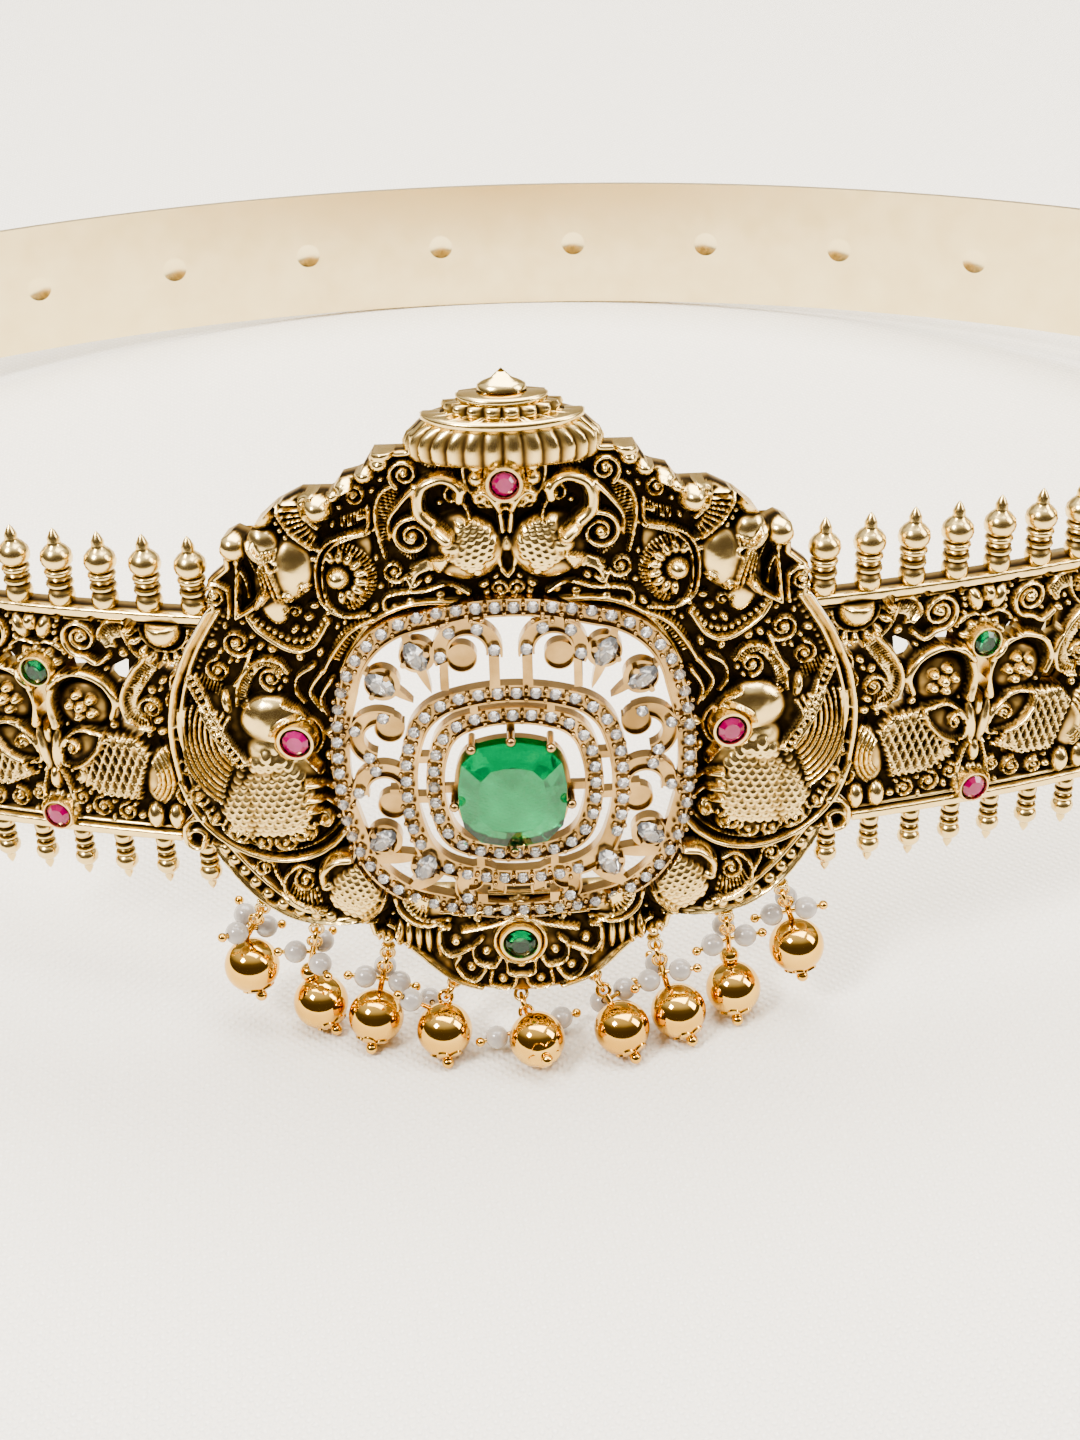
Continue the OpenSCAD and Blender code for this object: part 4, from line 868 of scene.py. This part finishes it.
def carve_band():
    """The band's motif, drawn on its left half and mirrored about the middle."""
    k = Carving(MOTIF_MID - MOTIF_REACH, MOTIF_MID + MOTIF_REACH, -BAND_REACH, BAND_REACH, SHEET)
    S = smooth
    k.form((40, 13.2), 2.3, 2.3, 0, 2.9)
    k.ridge(arc((40, 13.2), 2.9, 180, 360), 0.5, 0.9)
    for i in range(9):
        a = 184 + 21.5 * i
        t = math.radians(a)
        k.form((40 + 3.9 * math.cos(t), 13.2 + 3.9 * math.sin(t)), 0.95, 0.62, a, 1.5)
    k.ridge(arc((40, 13.2), 5.1, 180, 360), 0.5, 1.0)
    leaf = S([(43.5, 13.6), (45.4, 14), (47, 13.6), (48, 12), (47, 10.6)])
    k.ridge(leaf, 0.6, 1.4)
    k.hatch(leaf, [(43.9, 11.6), (45, 11.8), (46, 11.6), (46.4, 11), (46.2, 10.4)], 0.9)
    k.scroll((50.4, 11.4), 2.5, -100, 1.8, 0.9, 1.5, lead=[(47.2, 9.2), (48.6, 8.2)])
    k.beads(arc((50.4, 11.4), 3.3, -60, 100), 0.95, 0.42, 1.0)
    k.form((54.8, 12.4), 1.0, 1.8, 20, 1.9)
    k.form((56.2, 13.2), 0.8, 1.4, 0, 2.2)
    k.curve([(53, 9.6), (54.4, 10.4), (56.2, 10.2)], 0.6, 1.2)
    k.form((56.2, 6.9), 2.8, 2.8, 0, 1.2)
    for p in around((MOTIF_MID, 6.9), 2.75, 10, 18):
        k.bead(p, 0.5, 0.7)
    comma = S([(42, 10), (44.6, 7), (46.2, 3.5), (45.4, 0.4), (43, -0.4)])
    k.ridge(comma, 1.0, 1.6, 0.7)
    k.hatch(comma, [(41, 8.4), (43, 5.8), (44.4, 3.4), (44, 1.8), (43, 1.4)], 0.9, 0.45, 0.28)
    k.scroll((42.7, 2.6), 1.5, 0, 1.5, 0.6, 1.2)
    # raised trunk and what it holds
    k.form((51.4, 2.2), 3.4, 3.2, 0, 1.1)
    k.curve([(55, -0.6), (55.4, 2.6), (54, 5.6), (51.4, 6.8), (48.4, 5.8), (47, 3.4),
             (47.6, 1.2)], 1.5, 2.0, 0.7)
    for p in around((51.3, 2.4), 1.5, 5):
        k.form(p, 0.85, 0.75, 0, 2.1)
    k.bead((51.3, 2.4), 0.75, 1.4)
    # head, ear, blanket and legs
    k.form((50.6, -4), 4.2, 3.4, 0, 1.5)
    ear = S([(49, -1), (52, -0.8), (54.4, -2.8), (54.8, -5.8), (53, -5.8), (51, -4.6),
             (49.4, -2.8)])
    k.ridge(ear, 0.7, 1.5, closed=True)
    k.scroll((53, -3.2), 1.1, 0, 1.4, 0.5, 1.2)
    k.form((55.4, -4), 0.9, 3.4, 8, 1.8)
    blanket = [(45, -1.6), (48.2, -1.2), (50.4, -4), (53.6, -8), (50, -9.8), (45.6, -10),
               (44.2, -6), (43.4, -3.6)]
    k.slab(blanket, 1.3)
    p = np.array(blanket)
    for i in range(12):
        x = 42.4 + 1.05 * i
        for q in ([(x, -1), (x - 4, -10.4)], [(x - 4, -1), (x, -10.4)]):
            line = spread(np.array(q, float), 24)
            line = line[inside(p, line[:, 0], line[:, 1])]
            if len(line) > 2:
                k.ridge(line, 0.3, 0.5)
    hem = np.vstack([p, p[:1]])
    k.beads(hem, 0.85, 0.42, 0.9)
    k.form((42.4, -6.6), 2.3, 4.2, 10, 1.5)
    for i in range(5):
        k.ridge(arc((44.6, -6.4), 2.2 + 0.55 * i, 130, 235, 1.2), 0.4, 0.6)
    k.form((43.8, -12.2), 1.2, 1.9, 0, 1.8)
    k.form((41.2, -12.2), 1.1, 1.9, 0, 1.7)
    for c, r in (((50.6, -11.8), 1.5), ((47.4, -12.2), 1.3), ((53.4, -10.8), 1.1),
                 ((39.6, -9.4), 1.4), ((39.2, -3.4), 1.5), ((39.4, 3.6), 1.5), ((39, 8), 1.1)):
        k.scroll(c, r, 90, -1.4, 0.55, 1.1)
    k.curve([(38.4, -12.8), (39.6, -6), (38.2, -0.4), (39.8, 6), (38.4, 9)], 0.6, 1.2)
    k.form((56.2, -12.9), 2.5, 2.5, 0, 1.1)
    for p in around((MOTIF_MID, -12.9), 2.5, 9):
        k.bead(p, 0.45, 0.6)
    k.curve([(55.4, -6.8), (54.6, -9.4), (54, -12.8)], 0.6, 1.2)
    k.form((56.2, -1.6), 0.55, 2.2, 0, 1.7)
    k.form((56.2, -8.2), 0.7, 1.8, 0, 1.6)
    k.h = np.maximum(k.h, k.h[:, ::-1])
    k.body = np.maximum(k.body, k.body[:, ::-1])
    gap = [[(-0.9, 4.6), (0.9, 4.6), (0.7, 0.6), (0, -1.8), (-0.7, 0.6)],
           [(2.6, 6.6), (4.2, 8.6), (5.9, 7.9), (5, 6.9)],
           [(9, 7.6), (11.2, 8.8), (10.9, 5.8), (9.3, 5.2), (8.4, 6.3)],
           [(9, -0.9), (9.4, 1.6), (12.4, -0.4), (11.6, -1.6)],
           [(14.9, 8.6), (16.4, 9.2), (17.6, 7.6), (15.6, 7.2)]]
    e = np.maximum(np.abs(k.v) - BAND_TOP, k.u - BAND_END)
    e = np.maximum(e, BAND_GAP - signed(EDGE, k.u, k.v))
    for g in gap:
        for s in (-1, 1):
            e = np.maximum(e, -signed([(MOTIF_MID + s * x, y) for x, y in g], k.u, k.v))
    for x, y, r in ((14.2, -2.1, 0.5), (3.6, 14, 0.55), (7.8, 14, 0.6), (12.4, 14, 0.7),
                    (5, -9.6, 0.6), (3, -6, 0.45)):
        for s in (-1, 1):
            e = np.maximum(e, r - np.hypot(k.u - MOTIF_MID - s * x, k.v - y))
    k.fill(np.maximum(e, np.abs(k.v) - 13.6), 47)
    # plain rails with a thin line inside them
    for s in (-1, 1):
        t = np.abs(s * k.v - (BAND_TOP - RAIL_H / 2)) / (RAIL_H / 2)
        k.h = np.where(t < 1, RAIL_D - 0.5 + 0.5 * np.sqrt(np.clip(1 - t ** 4, 0, 1)), k.h)
        line = np.clip(1 - ((s * k.v - 13.75) / 0.3) ** 2, 0, 1)
        k.h = np.maximum(k.h, k.level + 0.8 * np.sqrt(line) - (line == 0))
    # plain end strip beyond the motif
    t = np.clip(1 - ((k.u - BAND_END + 0.7) / 0.7) ** 2, 0, 1)
    k.h = np.maximum(k.h, np.where(np.abs(k.v) < 14.2, k.level + 0.9 * np.sqrt(t), 0))
    for c, r in (((MOTIF_MID, 6.9), 1.95), ((MOTIF_MID, -12.9), 1.9)):
        k.h = np.where(np.hypot(k.u - c[0], k.v - c[1]) < r, k.level + 0.8, k.h)
    return k, e


for draw, label, hides, seed in (
        (carve_medallion, "medallion_relief", ("medallion", "medallion"), 5),
        (carve_band, "band_relief", ("band_right", "band_left"), 9)):
    k, e = draw()
    rub = k.finish(seed)
    for mirrored in (False, True):
        piece = skin(label + ("_left" if mirrored else "_right"), k.u, k.v, k.h, e, rub,
                     mirrored=mirrored)
        rides(piece, old_gold, (hides[mirrored],))


# Turned and repeated pieces

def build(name, points, faces, soft=60):
    mesh = bpy.data.meshes.new(name)
    mesh.from_pydata([tuple(p) for p in points], [], [tuple(f) for f in faces])
    mesh.update()
    if soft:
        mesh.polygons.foreach_set("use_smooth", [True] * len(mesh.polygons))
        mesh.set_sharp_from_angle(angle=math.radians(soft))
    piece = bpy.data.objects.new(name, mesh)
    bpy.context.scene.collection.objects.link(piece)
    return piece


def tube_faces(rows, n):
    """Faces between closed rows of n points, with both ends filled."""
    faces = [(i * n + j, i * n + (j + 1) % n, (i + 1) * n + (j + 1) % n, (i + 1) * n + j)
             for i in range(rows - 1) for j in range(n)]
    return faces + [tuple(range(n))[::-1], tuple(range((rows - 1) * n, rows * n))]


def turned(name, profile, n, waves=()):
    """A turned solid, z up, in metres; waves gives rows whose radius swells n / 2 times."""
    points = []
    for i, (z, r) in enumerate(profile):
        for j in range(n):
            a = 2 * math.pi * j / n
            q = r * (1 + (0.10 * (-1) ** j if i in waves else 0))
            points.append((q * math.cos(a) * MM, q * math.sin(a) * MM, z * MM))
    return build(name, points, tube_faces(len(profile), n), 50)


def wire_loop(name, r, w, n=18, m=8):
    """A ring of wire round z."""
    points, faces = [], []
    for i in range(n):
        a = 2 * math.pi * i / n
        for j in range(m):
            b = 2 * math.pi * j / m
            q = r + w * math.cos(b)
            points.append((q * math.cos(a) * MM, q * math.sin(a) * MM, w * math.sin(b) * MM))
            faces.append((i * m + j, (i + 1) % n * m + j, (i + 1) % n * m + (j + 1) % m,
                          i * m + (j + 1) % m))
    return build(name, points, faces)


def repeated(name, shape, spots, mat):
    """One small shape at many places: (point, rotation, scale), by Geometry Nodes."""
    mesh = bpy.data.meshes.new(name)
    mesh.from_pydata([tuple(p) for p, _, _ in spots], [], [])
    mesh.attributes.new("turn", "FLOAT_VECTOR", "POINT")
    mesh.attributes.new("grow", "FLOAT", "POINT")
    mesh.attributes["turn"].data.foreach_set("vector",
                                             [a for _, m, _ in spots for a in m.to_euler()])
    mesh.attributes["grow"].data.foreach_set("value", [s for _, _, s in spots])
    base = bpy.data.objects.new(name + "_points", mesh)
    bpy.context.scene.collection.objects.link(base)
    tree = bpy.data.node_groups.new(name, "GeometryNodeTree")
    sockets = {}
    for label, kind in (("Points", "Geometry"), ("Shape", "Object"), ("Size", "Float")):
        sockets[label] = tree.interface.new_socket(label, in_out="INPUT",
                                                   socket_type="NodeSocket" + kind)
    tree.interface.new_socket("Pieces", in_out="OUTPUT", socket_type="NodeSocketGeometry")
    add, link = tree.nodes.new, tree.links.new
    given, out = add("NodeGroupInput"), add("NodeGroupOutput")
    info, on = add("GeometryNodeObjectInfo"), add("GeometryNodeInstanceOnPoints")
    angles, sizes = add("GeometryNodeInputNamedAttribute"), add("GeometryNodeInputNamedAttribute")
    angles.data_type = "FLOAT_VECTOR"
    angles.inputs["Name"].default_value = "turn"
    sizes.inputs["Name"].default_value = "grow"
    whole, paint, scaled = (add("GeometryNodeRealizeInstances"), add("GeometryNodeSetMaterial"),
                            add("ShaderNodeMath"))
    scaled.operation = "MULTIPLY"
    paint.inputs["Material"].default_value = mat
    link(given.outputs["Points"], on.inputs["Points"])
    link(given.outputs["Shape"], info.inputs["Object"])
    link(info.outputs["Geometry"], on.inputs["Instance"])
    link(angles.outputs["Attribute"], on.inputs["Rotation"])
    link(sizes.outputs["Attribute"], scaled.inputs[0])
    link(given.outputs["Size"], scaled.inputs[1])
    link(scaled.outputs["Value"], on.inputs["Scale"])
    link(on.outputs["Instances"], whole.inputs["Geometry"])
    link(whole.outputs["Geometry"], paint.inputs["Geometry"])
    link(paint.outputs["Geometry"], out.inputs["Pieces"])
    mod = base.modifiers.new("repeat", "NODES")
    mod.node_group = tree
    mod[sockets["Shape"].identifier] = shape
    mod[sockets["Size"].identifier] = 1.0
    bpy.context.view_layer.update()
    ready = base.evaluated_get(bpy.context.evaluated_depsgraph_get())
    done = bpy.data.meshes.new_from_object(ready)
    piece = bpy.data.objects.new(name, done)
    bpy.context.scene.collection.objects.link(piece)
    bpy.data.objects.remove(base)
    return rides(piece, mat)


shapes = []


def spot_on(u, v, h, turn=None, size=1.0):
    """A place for a repeated shape, its z outwards unless turned."""
    m = axes_at(u)
    return (place(u, v, h), m @ turn if turn else m, size)


# Crown over the medallion: a ribbed half-round body under three discs and a point
CROWN = [(34.2, 9.8, 4.6), (34.6, 10.5, 5.4), (35.3, 10.9, 5.9), (36.4, 11, 6.1),
         (37.4, 10.5, 5.9), (38.2, 9.5, 5.5), (38.7, 8.5, 5.1), (38.8, 8.6, 5.8),
         (39.0, 8.9, 6.1), (39.5, 8.9, 6.1), (39.7, 8.6, 5.8), (39.75, 6.3, 4.5),
         (39.9, 6.5, 4.8), (40.4, 6.6, 4.9), (40.9, 6.4, 4.7), (41.0, 4.7, 4.1),
         (41.2, 5.0, 4.4), (41.6, 5.0, 4.4), (41.8, 4.6, 4.1), (41.85, 2.3, 2.6),
         (42.1, 2.7, 3.0), (42.6, 2.6, 2.9), (43.0, 1.9, 2.3), (43.3, 1.1, 1.6),
         (43.7, 0.7, 1.1), (44.1, 0.2, 0.5)]


def crown():
    n = 150
    points, tone = [], []
    for v, w, d in CROWN:
        a = np.linspace(0, math.pi, n - 1)
        rib = 0.0
        if 34.3 < v < 38.6:
            rib = 0.055 * math.sin(math.pi * (v - 34.3) / 4.3) ** 0.5
            wave = np.abs(np.cos(15 * a)) ** 0.7
        elif 39.8 < v < 40.95:
            rib = 0.10
            wave = np.abs(np.cos(9 * a)) ** 0.7
        else:
            wave = np.ones(n - 1)
        k = 1 - rib * (1 - wave) * 1.6
        points += list(place(w * np.cos(a) * k, v + 0 * a, 0.9 + (d - 0.9) * np.sin(a) * k))
        points.append(place(0, v, 0.2))
        # Grooves between the ribs and the inner point get a low tone: patina plus painted shade.
        tone += list(np.clip(1 - 1.15 * (1 - wave), 0.15, 1)) + [0.3]
    piece = build("crown_tiers", points, [f[::-1] for f in tube_faces(len(CROWN), n)], 65)
    layer = piece.data.attributes.new("rub", "FLOAT", "POINT")
    layer.data.foreach_set("value", tone)
    return piece


rides(crown(), old_gold)

# Finials: ball, two ringed collars with a beaded row between, a bigger ball and a tip
FINIAL = [(-0.2, 1.0), (0.1, 1.25), (0.5, 1.52), (1.0, 1.62), (1.6, 1.55), (2.1, 1.25),
          (2.3, 1.1), (2.4, 1.55), (2.65, 1.66), (2.9, 1.55), (3.0, 1.15), (3.4, 1.42),
          (3.8, 1.15), (3.9, 1.58), (4.15, 1.68), (4.4, 1.55), (4.5, 1.15), (4.75, 1.45),
          (5.2, 1.8), (5.8, 1.92), (6.5, 1.78), (7.1, 1.3), (7.45, 0.85), (7.8, 0.74),
          (8.2, 0.76), (8.6, 0.58), (9.0, 0.38), (9.4, 0.08)]
shapes.append(turned("finial_shape", FINIAL, 18, waves=(11,)))
up = Matrix.Rotation(math.radians(-90), 3, "X")
down = Matrix.Rotation(math.radians(90), 3, "X")
FINIAL_V, LOW_SIZE = 15.3, 7 / 9.4
spots = []
for s in (-1, 1):
    for i in range(8):
        spots.append(spot_on(s * (36.1 + i * FINIAL_PITCH), FINIAL_V, RAIL_D / 2, up))
    for i in range(6):
        spots.append(spot_on(s * (43.5 + i * FINIAL_PITCH), -FINIAL_V, RAIL_D / 2, down,
                             LOW_SIZE))
    spots.append(spot_on(s * 38, -15.8, RAIL_D / 2, down, LOW_SIZE))
finials = repeated("finials", shapes[-1], spots, old_gold)
layer = finials.data.attributes.new("rub", "FLOAT", "POINT")
# Necks between the rings get a low tone: patina plus painted shade in the creases; the rest is
# rubbed bright.
profile_tone = [0.12 if r < 1.28 and 0.1 < z < 7 else 0.95 for z, r in FINIAL]
one = [t for t in profile_tone for _ in range(18)]
layer.data.foreach_set("value", one * (len(finials.data.vertices) // len(one)))


def toned(piece, value):
    """Gives a piece one even tone: low for patina plus painted shade, high for rubbed bright
    gold.
    """
    tone_layer = piece.data.attributes.new("rub", "FLOAT", "POINT")
    tone_layer.data.foreach_set("value", [value] * len(piece.data.vertices))
    return piece


# Sockets round the stones of the medallion and bands
def socket(name, r_in, r_out, low, high, n=48):
    """A tapered ring with a rolled lip, z outwards."""
    section = [(r_out + 0.25, low), (r_out + 0.1, low + 0.4), (r_out - 0.05, high - 0.35),
               (r_out - 0.2, high), (r_in + 0.2, high), (r_in, high - 0.3), (r_in, low)]
    k = len(section)
    points = [(r * math.cos(2 * math.pi * i / n) * MM, r * math.sin(2 * math.pi * i / n) * MM,
               z * MM) for i in range(n) for r, z in section]
    faces = [(i * k + j, (i + 1) % n * k + j, (i + 1) % n * k + (j + 1) % k,
              i * k + (j + 1) % k) for i in range(n) for j in range(k)]
    return build(name, points, [f[::-1] for f in faces], 50)


for name, r_in, r_out, low, high, places in (
        ("eye_sockets", 1.68, 2.4, 1.4, 4.2, ((25.1, 0), (-25.1, 0))),
        ("crown_socket", 1.48, 2.2, 1.2, 6.5, ((0, 33),)),
        ("bowl_socket", 1.98, 2.7, 1.4, 4.2, ((0, -28.2),)),
        ("band_sockets", 1.58, 2.15, 1.3, 3.6, [(s * MOTIF_MID, v) for s in (-1, 1)
                                                for v in (6.9, -12.9)])):
    shapes.append(socket(name + "_shape", r_in, r_out, low, high))
    toned(repeated(name, shapes[-1], [spot_on(u, v, 0) for u, v in places], old_gold), 0.85)
shapes.append(turned("floor_shape", [(0, 2.3), (0.35, 2.3)], 24))
spots = [spot_on(u, v, h) for u, v, h in ((25.1, 0, 2.1), (-25.1, 0, 2.1), (0, 33, 2.2),
                                          (0, -28.2, 2.2))]
# The socket floors under the stones get a low tone: patina plus painted shade.
toned(repeated("socket_floors", shapes[-1], spots, old_gold), 0.2)

# Eyelets under the medallion, u and v of the eye for each drop
EYES = [(-31.9, -25.2), (-25.3, -27.9), (-16.6, -31.2), (-8.4, -35.4), (-0.2, -37.6),
        (9, -35), (16.7, -31.2), (25.6, -28.1), (32.6, -24.9)]
EYE_H, EYE_R, EYE_WIRE = 1.5, 0.8, 0.25
STEM_DROP, GRANULE_DROP, GRANULE_R, GRANULES = 0.7, 1.15, 0.6, 10
shapes.append(wire_loop("eyelet_shape", EYE_R, EYE_WIRE))
shapes.append(turned("stem_shape", [(0, 0.36), (0.2, 0.42), (1.6, 0.42)], 10))
shapes.append(turned("granule_shape", [(-0.36, 0.05), (-0.26, 0.26), (0, 0.36), (0.26, 0.26),
                                       (0.36, 0.05)], 8))
loops, stems, granules = [], [], []
for i, (u, v) in enumerate(EYES, 1):
    low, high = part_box("gold_bead_%d" % i)
    eye = Vector(place(u, v, EYE_H))
    bead = (Vector(low) + Vector(high)) / 2
    aim = (bead - eye).normalized()
    side = aim.cross(Vector((0, -1, 0))).normalized()
    face = Matrix((aim, side, aim.cross(side))).transposed()
    loops.append((eye, face, 1.0))
    along = Matrix((side, -aim.cross(side), -aim)).transposed()
    stems.append((eye - aim * STEM_DROP * MM, along, 1.0))
    for j in range(GRANULES):
        a = 2 * math.pi * j / GRANULES
        out = side * math.cos(a) + aim.cross(side) * math.sin(a)
        p = eye - aim * GRANULE_DROP * MM + out * GRANULE_R * MM
        granules.append((p, face, 0.9))
toned(repeated("eyelets", shapes[-3], loops, old_gold), 0.9)
toned(repeated("eyelet_stems", shapes[-2], stems, old_gold), 0.6)
toned(repeated("granules", shapes[-1], granules, old_gold), 0.9)


CLAW_REACH, CLAW_APART, CLAW_SIDE, CLAW_UP = 3.0, 0.3, 0.62, 0.22


def claws():
    """Places of the small claws between neighbouring pave stones."""
    mesh = nodes["pave_stones"].data
    work = bmesh.new()
    work.from_mesh(mesh)
    bmesh.ops.remove_doubles(work, verts=work.verts, dist=1e-6)
    seen, mids = set(), []
    for v in work.verts:
        if v.index in seen:
            continue
        group, queue = [], [v]
        seen.add(v.index)
        while queue:
            w = queue.pop()
            group.append(w.co.copy())
            for e in w.link_edges:
                o = e.other_vert(w)
                if o.index not in seen:
                    seen.add(o.index)
                    queue.append(o)
        mids.append(sum(group, Vector()) / len(group))
    work.free()
    spots, done = [], []
    for c in mids:
        near = sorted(mids, key=lambda q: (q - c).length)[1:3]
        for q in near:
            mid = (c + q) / 2
            if (q - c).length > CLAW_REACH * MM or any(
                    (mid - d).length < CLAW_APART * MM for d in done):
                continue
            done.append(mid)
            u = FRONT_R * math.asin((mid.x * 1000 + MIDDLE[0]) / (FRONT_R + 3))
            m = axes_at(u)
            out = m @ Vector((0, 0, 1))
            side = (q - c).cross(out).normalized()
            for s in (-1, 1):
                spots.append((mid + side * s * CLAW_SIDE * MM + out * CLAW_UP * MM, m, 1.0))
    return spots


shapes.append(turned("claw_shape", [(-0.4, 0.26), (0, 0.3), (0.2, 0.25), (0.34, 0.1)], 8))
repeated("claws", shapes[-1], claws(), edge_gold)
for shape in shapes:
    bpy.data.objects.remove(shape)


# Table, backdrop, camera and light

def ground():
    """A table cloth that curves up far behind."""
    rows = [(-1.2, 0.0), (-0.3, 0.0), (0.4, 0.0), (1.2, 0.0), (1.6, 0.006)]
    rows += [(1.6 + 0.55 * math.sin(a), 0.006 + 0.55 * (1 - math.cos(a)))
             for a in np.radians(np.linspace(8, 90, 12))]
    rows += [(2.16, 2.6)]
    points = [(x, y, z) for y, z in rows for x in (-2.6, 2.6)]
    faces = [(2 * i, 2 * i + 1, 2 * i + 3, 2 * i + 2) for i in range(len(rows) - 1)]
    return build("table_cloth", points, faces, 80)


table = ground()
table.data.materials.append(cloth("cream_cloth", (0.93, 0.89, 0.82), (0.84, 0.79, 0.71)))

FOCAL_PX, PHOTO_W = 1990.64, 1080
ELEVATION, AZIMUTH, ROLL = (math.radians(a) for a in (28.3775, -0.2575, -1.6181))
LOOK, AWAY = np.array([3.1618, -200.0, 0.7610]), 234.723
back = np.array([math.sin(AZIMUTH) * math.cos(ELEVATION),
                 -math.cos(AZIMUTH) * math.cos(ELEVATION), math.sin(ELEVATION)])
right = np.cross(-back, (0, 0, 1))
right /= np.linalg.norm(right)
above = np.cross(right, -back)
rolled = right * math.cos(ROLL) + above * math.sin(ROLL)
upward = above * math.cos(ROLL) - right * math.sin(ROLL)
lean = Matrix.Rotation(-LEAN, 3, "X")
turned_axes = lean @ Matrix((tuple(rolled), tuple(upward), tuple(back))).transposed()
eye = bpy.data.objects.new("camera", bpy.data.cameras.new("camera"))
eye.data.sensor_fit = "HORIZONTAL"
eye.data.sensor_width = 36
eye.data.lens = 36 * FOCAL_PX / PHOTO_W
eye.data.clip_start = 0.01
eye.matrix_world = (Matrix.Translation(Vector(stood(*(LOOK + AWAY * back))))
                    @ turned_axes.to_4x4())
bpy.context.scene.collection.objects.link(eye)
bpy.context.scene.camera = eye
bpy.context.scene.view_settings.look = "AgX - Medium High Contrast"
bpy.context.scene.view_settings.exposure = 0.18


def lamp(name, at, to, size, power, tint):
    light = bpy.data.lights.new(name, "AREA")
    light.shape = "RECTANGLE"
    light.size, light.size_y = size
    light.energy = power
    light.color = tint
    o = bpy.data.objects.new(name, light)
    o.matrix_world = (Matrix.Translation(at)
                      @ (Vector(at) - Vector(to)).to_track_quat("Z", "Y").to_matrix().to_4x4())
    bpy.context.scene.collection.objects.link(o)


lamp("sky_light", (0.1, 0.3, 1.3), (0, 0, 0), (1.6, 1.2), 36, (1, 0.985, 0.95))
lamp("key_light", (-0.5, -0.45, 0.75), (0, -0.1, 0.03), (0.22, 0.22), 7.5, (1, 0.98, 0.94))
lamp("side_light", (0.75, -0.2, 0.5), (0, -0.1, 0.03), (0.3, 0.5), 3.6, (1, 0.97, 0.92))

world = bpy.data.worlds.new("room")
world.use_nodes = True
bpy.context.scene.world = world
tree = world.node_tree
spot = tree.nodes.new("ShaderNodeTexCoord")
apart = tree.nodes.new("ShaderNodeSeparateXYZ")
tree.links.new(spot.outputs["Generated"], apart.inputs["Vector"])
slope = tree.nodes.new("ShaderNodeMath")
slope.operation = "MULTIPLY_ADD"
slope.inputs[1].default_value = 0.55
tree.links.new(apart.outputs["Y"], slope.inputs[0])
tree.links.new(apart.outputs["Z"], slope.inputs[2])
room = ramp_node(tree, [(0.0, (0.10, 0.08, 0.06)), (0.30, (0.16, 0.13, 0.10)),
                        (0.62, (0.78, 0.75, 0.70)), (1.0, (1.0, 0.98, 0.95))],
                 slope.outputs["Value"])
tree.links.new(room, tree.nodes["Background"].inputs["Color"])
tree.nodes["Background"].inputs["Strength"].default_value = 0.95
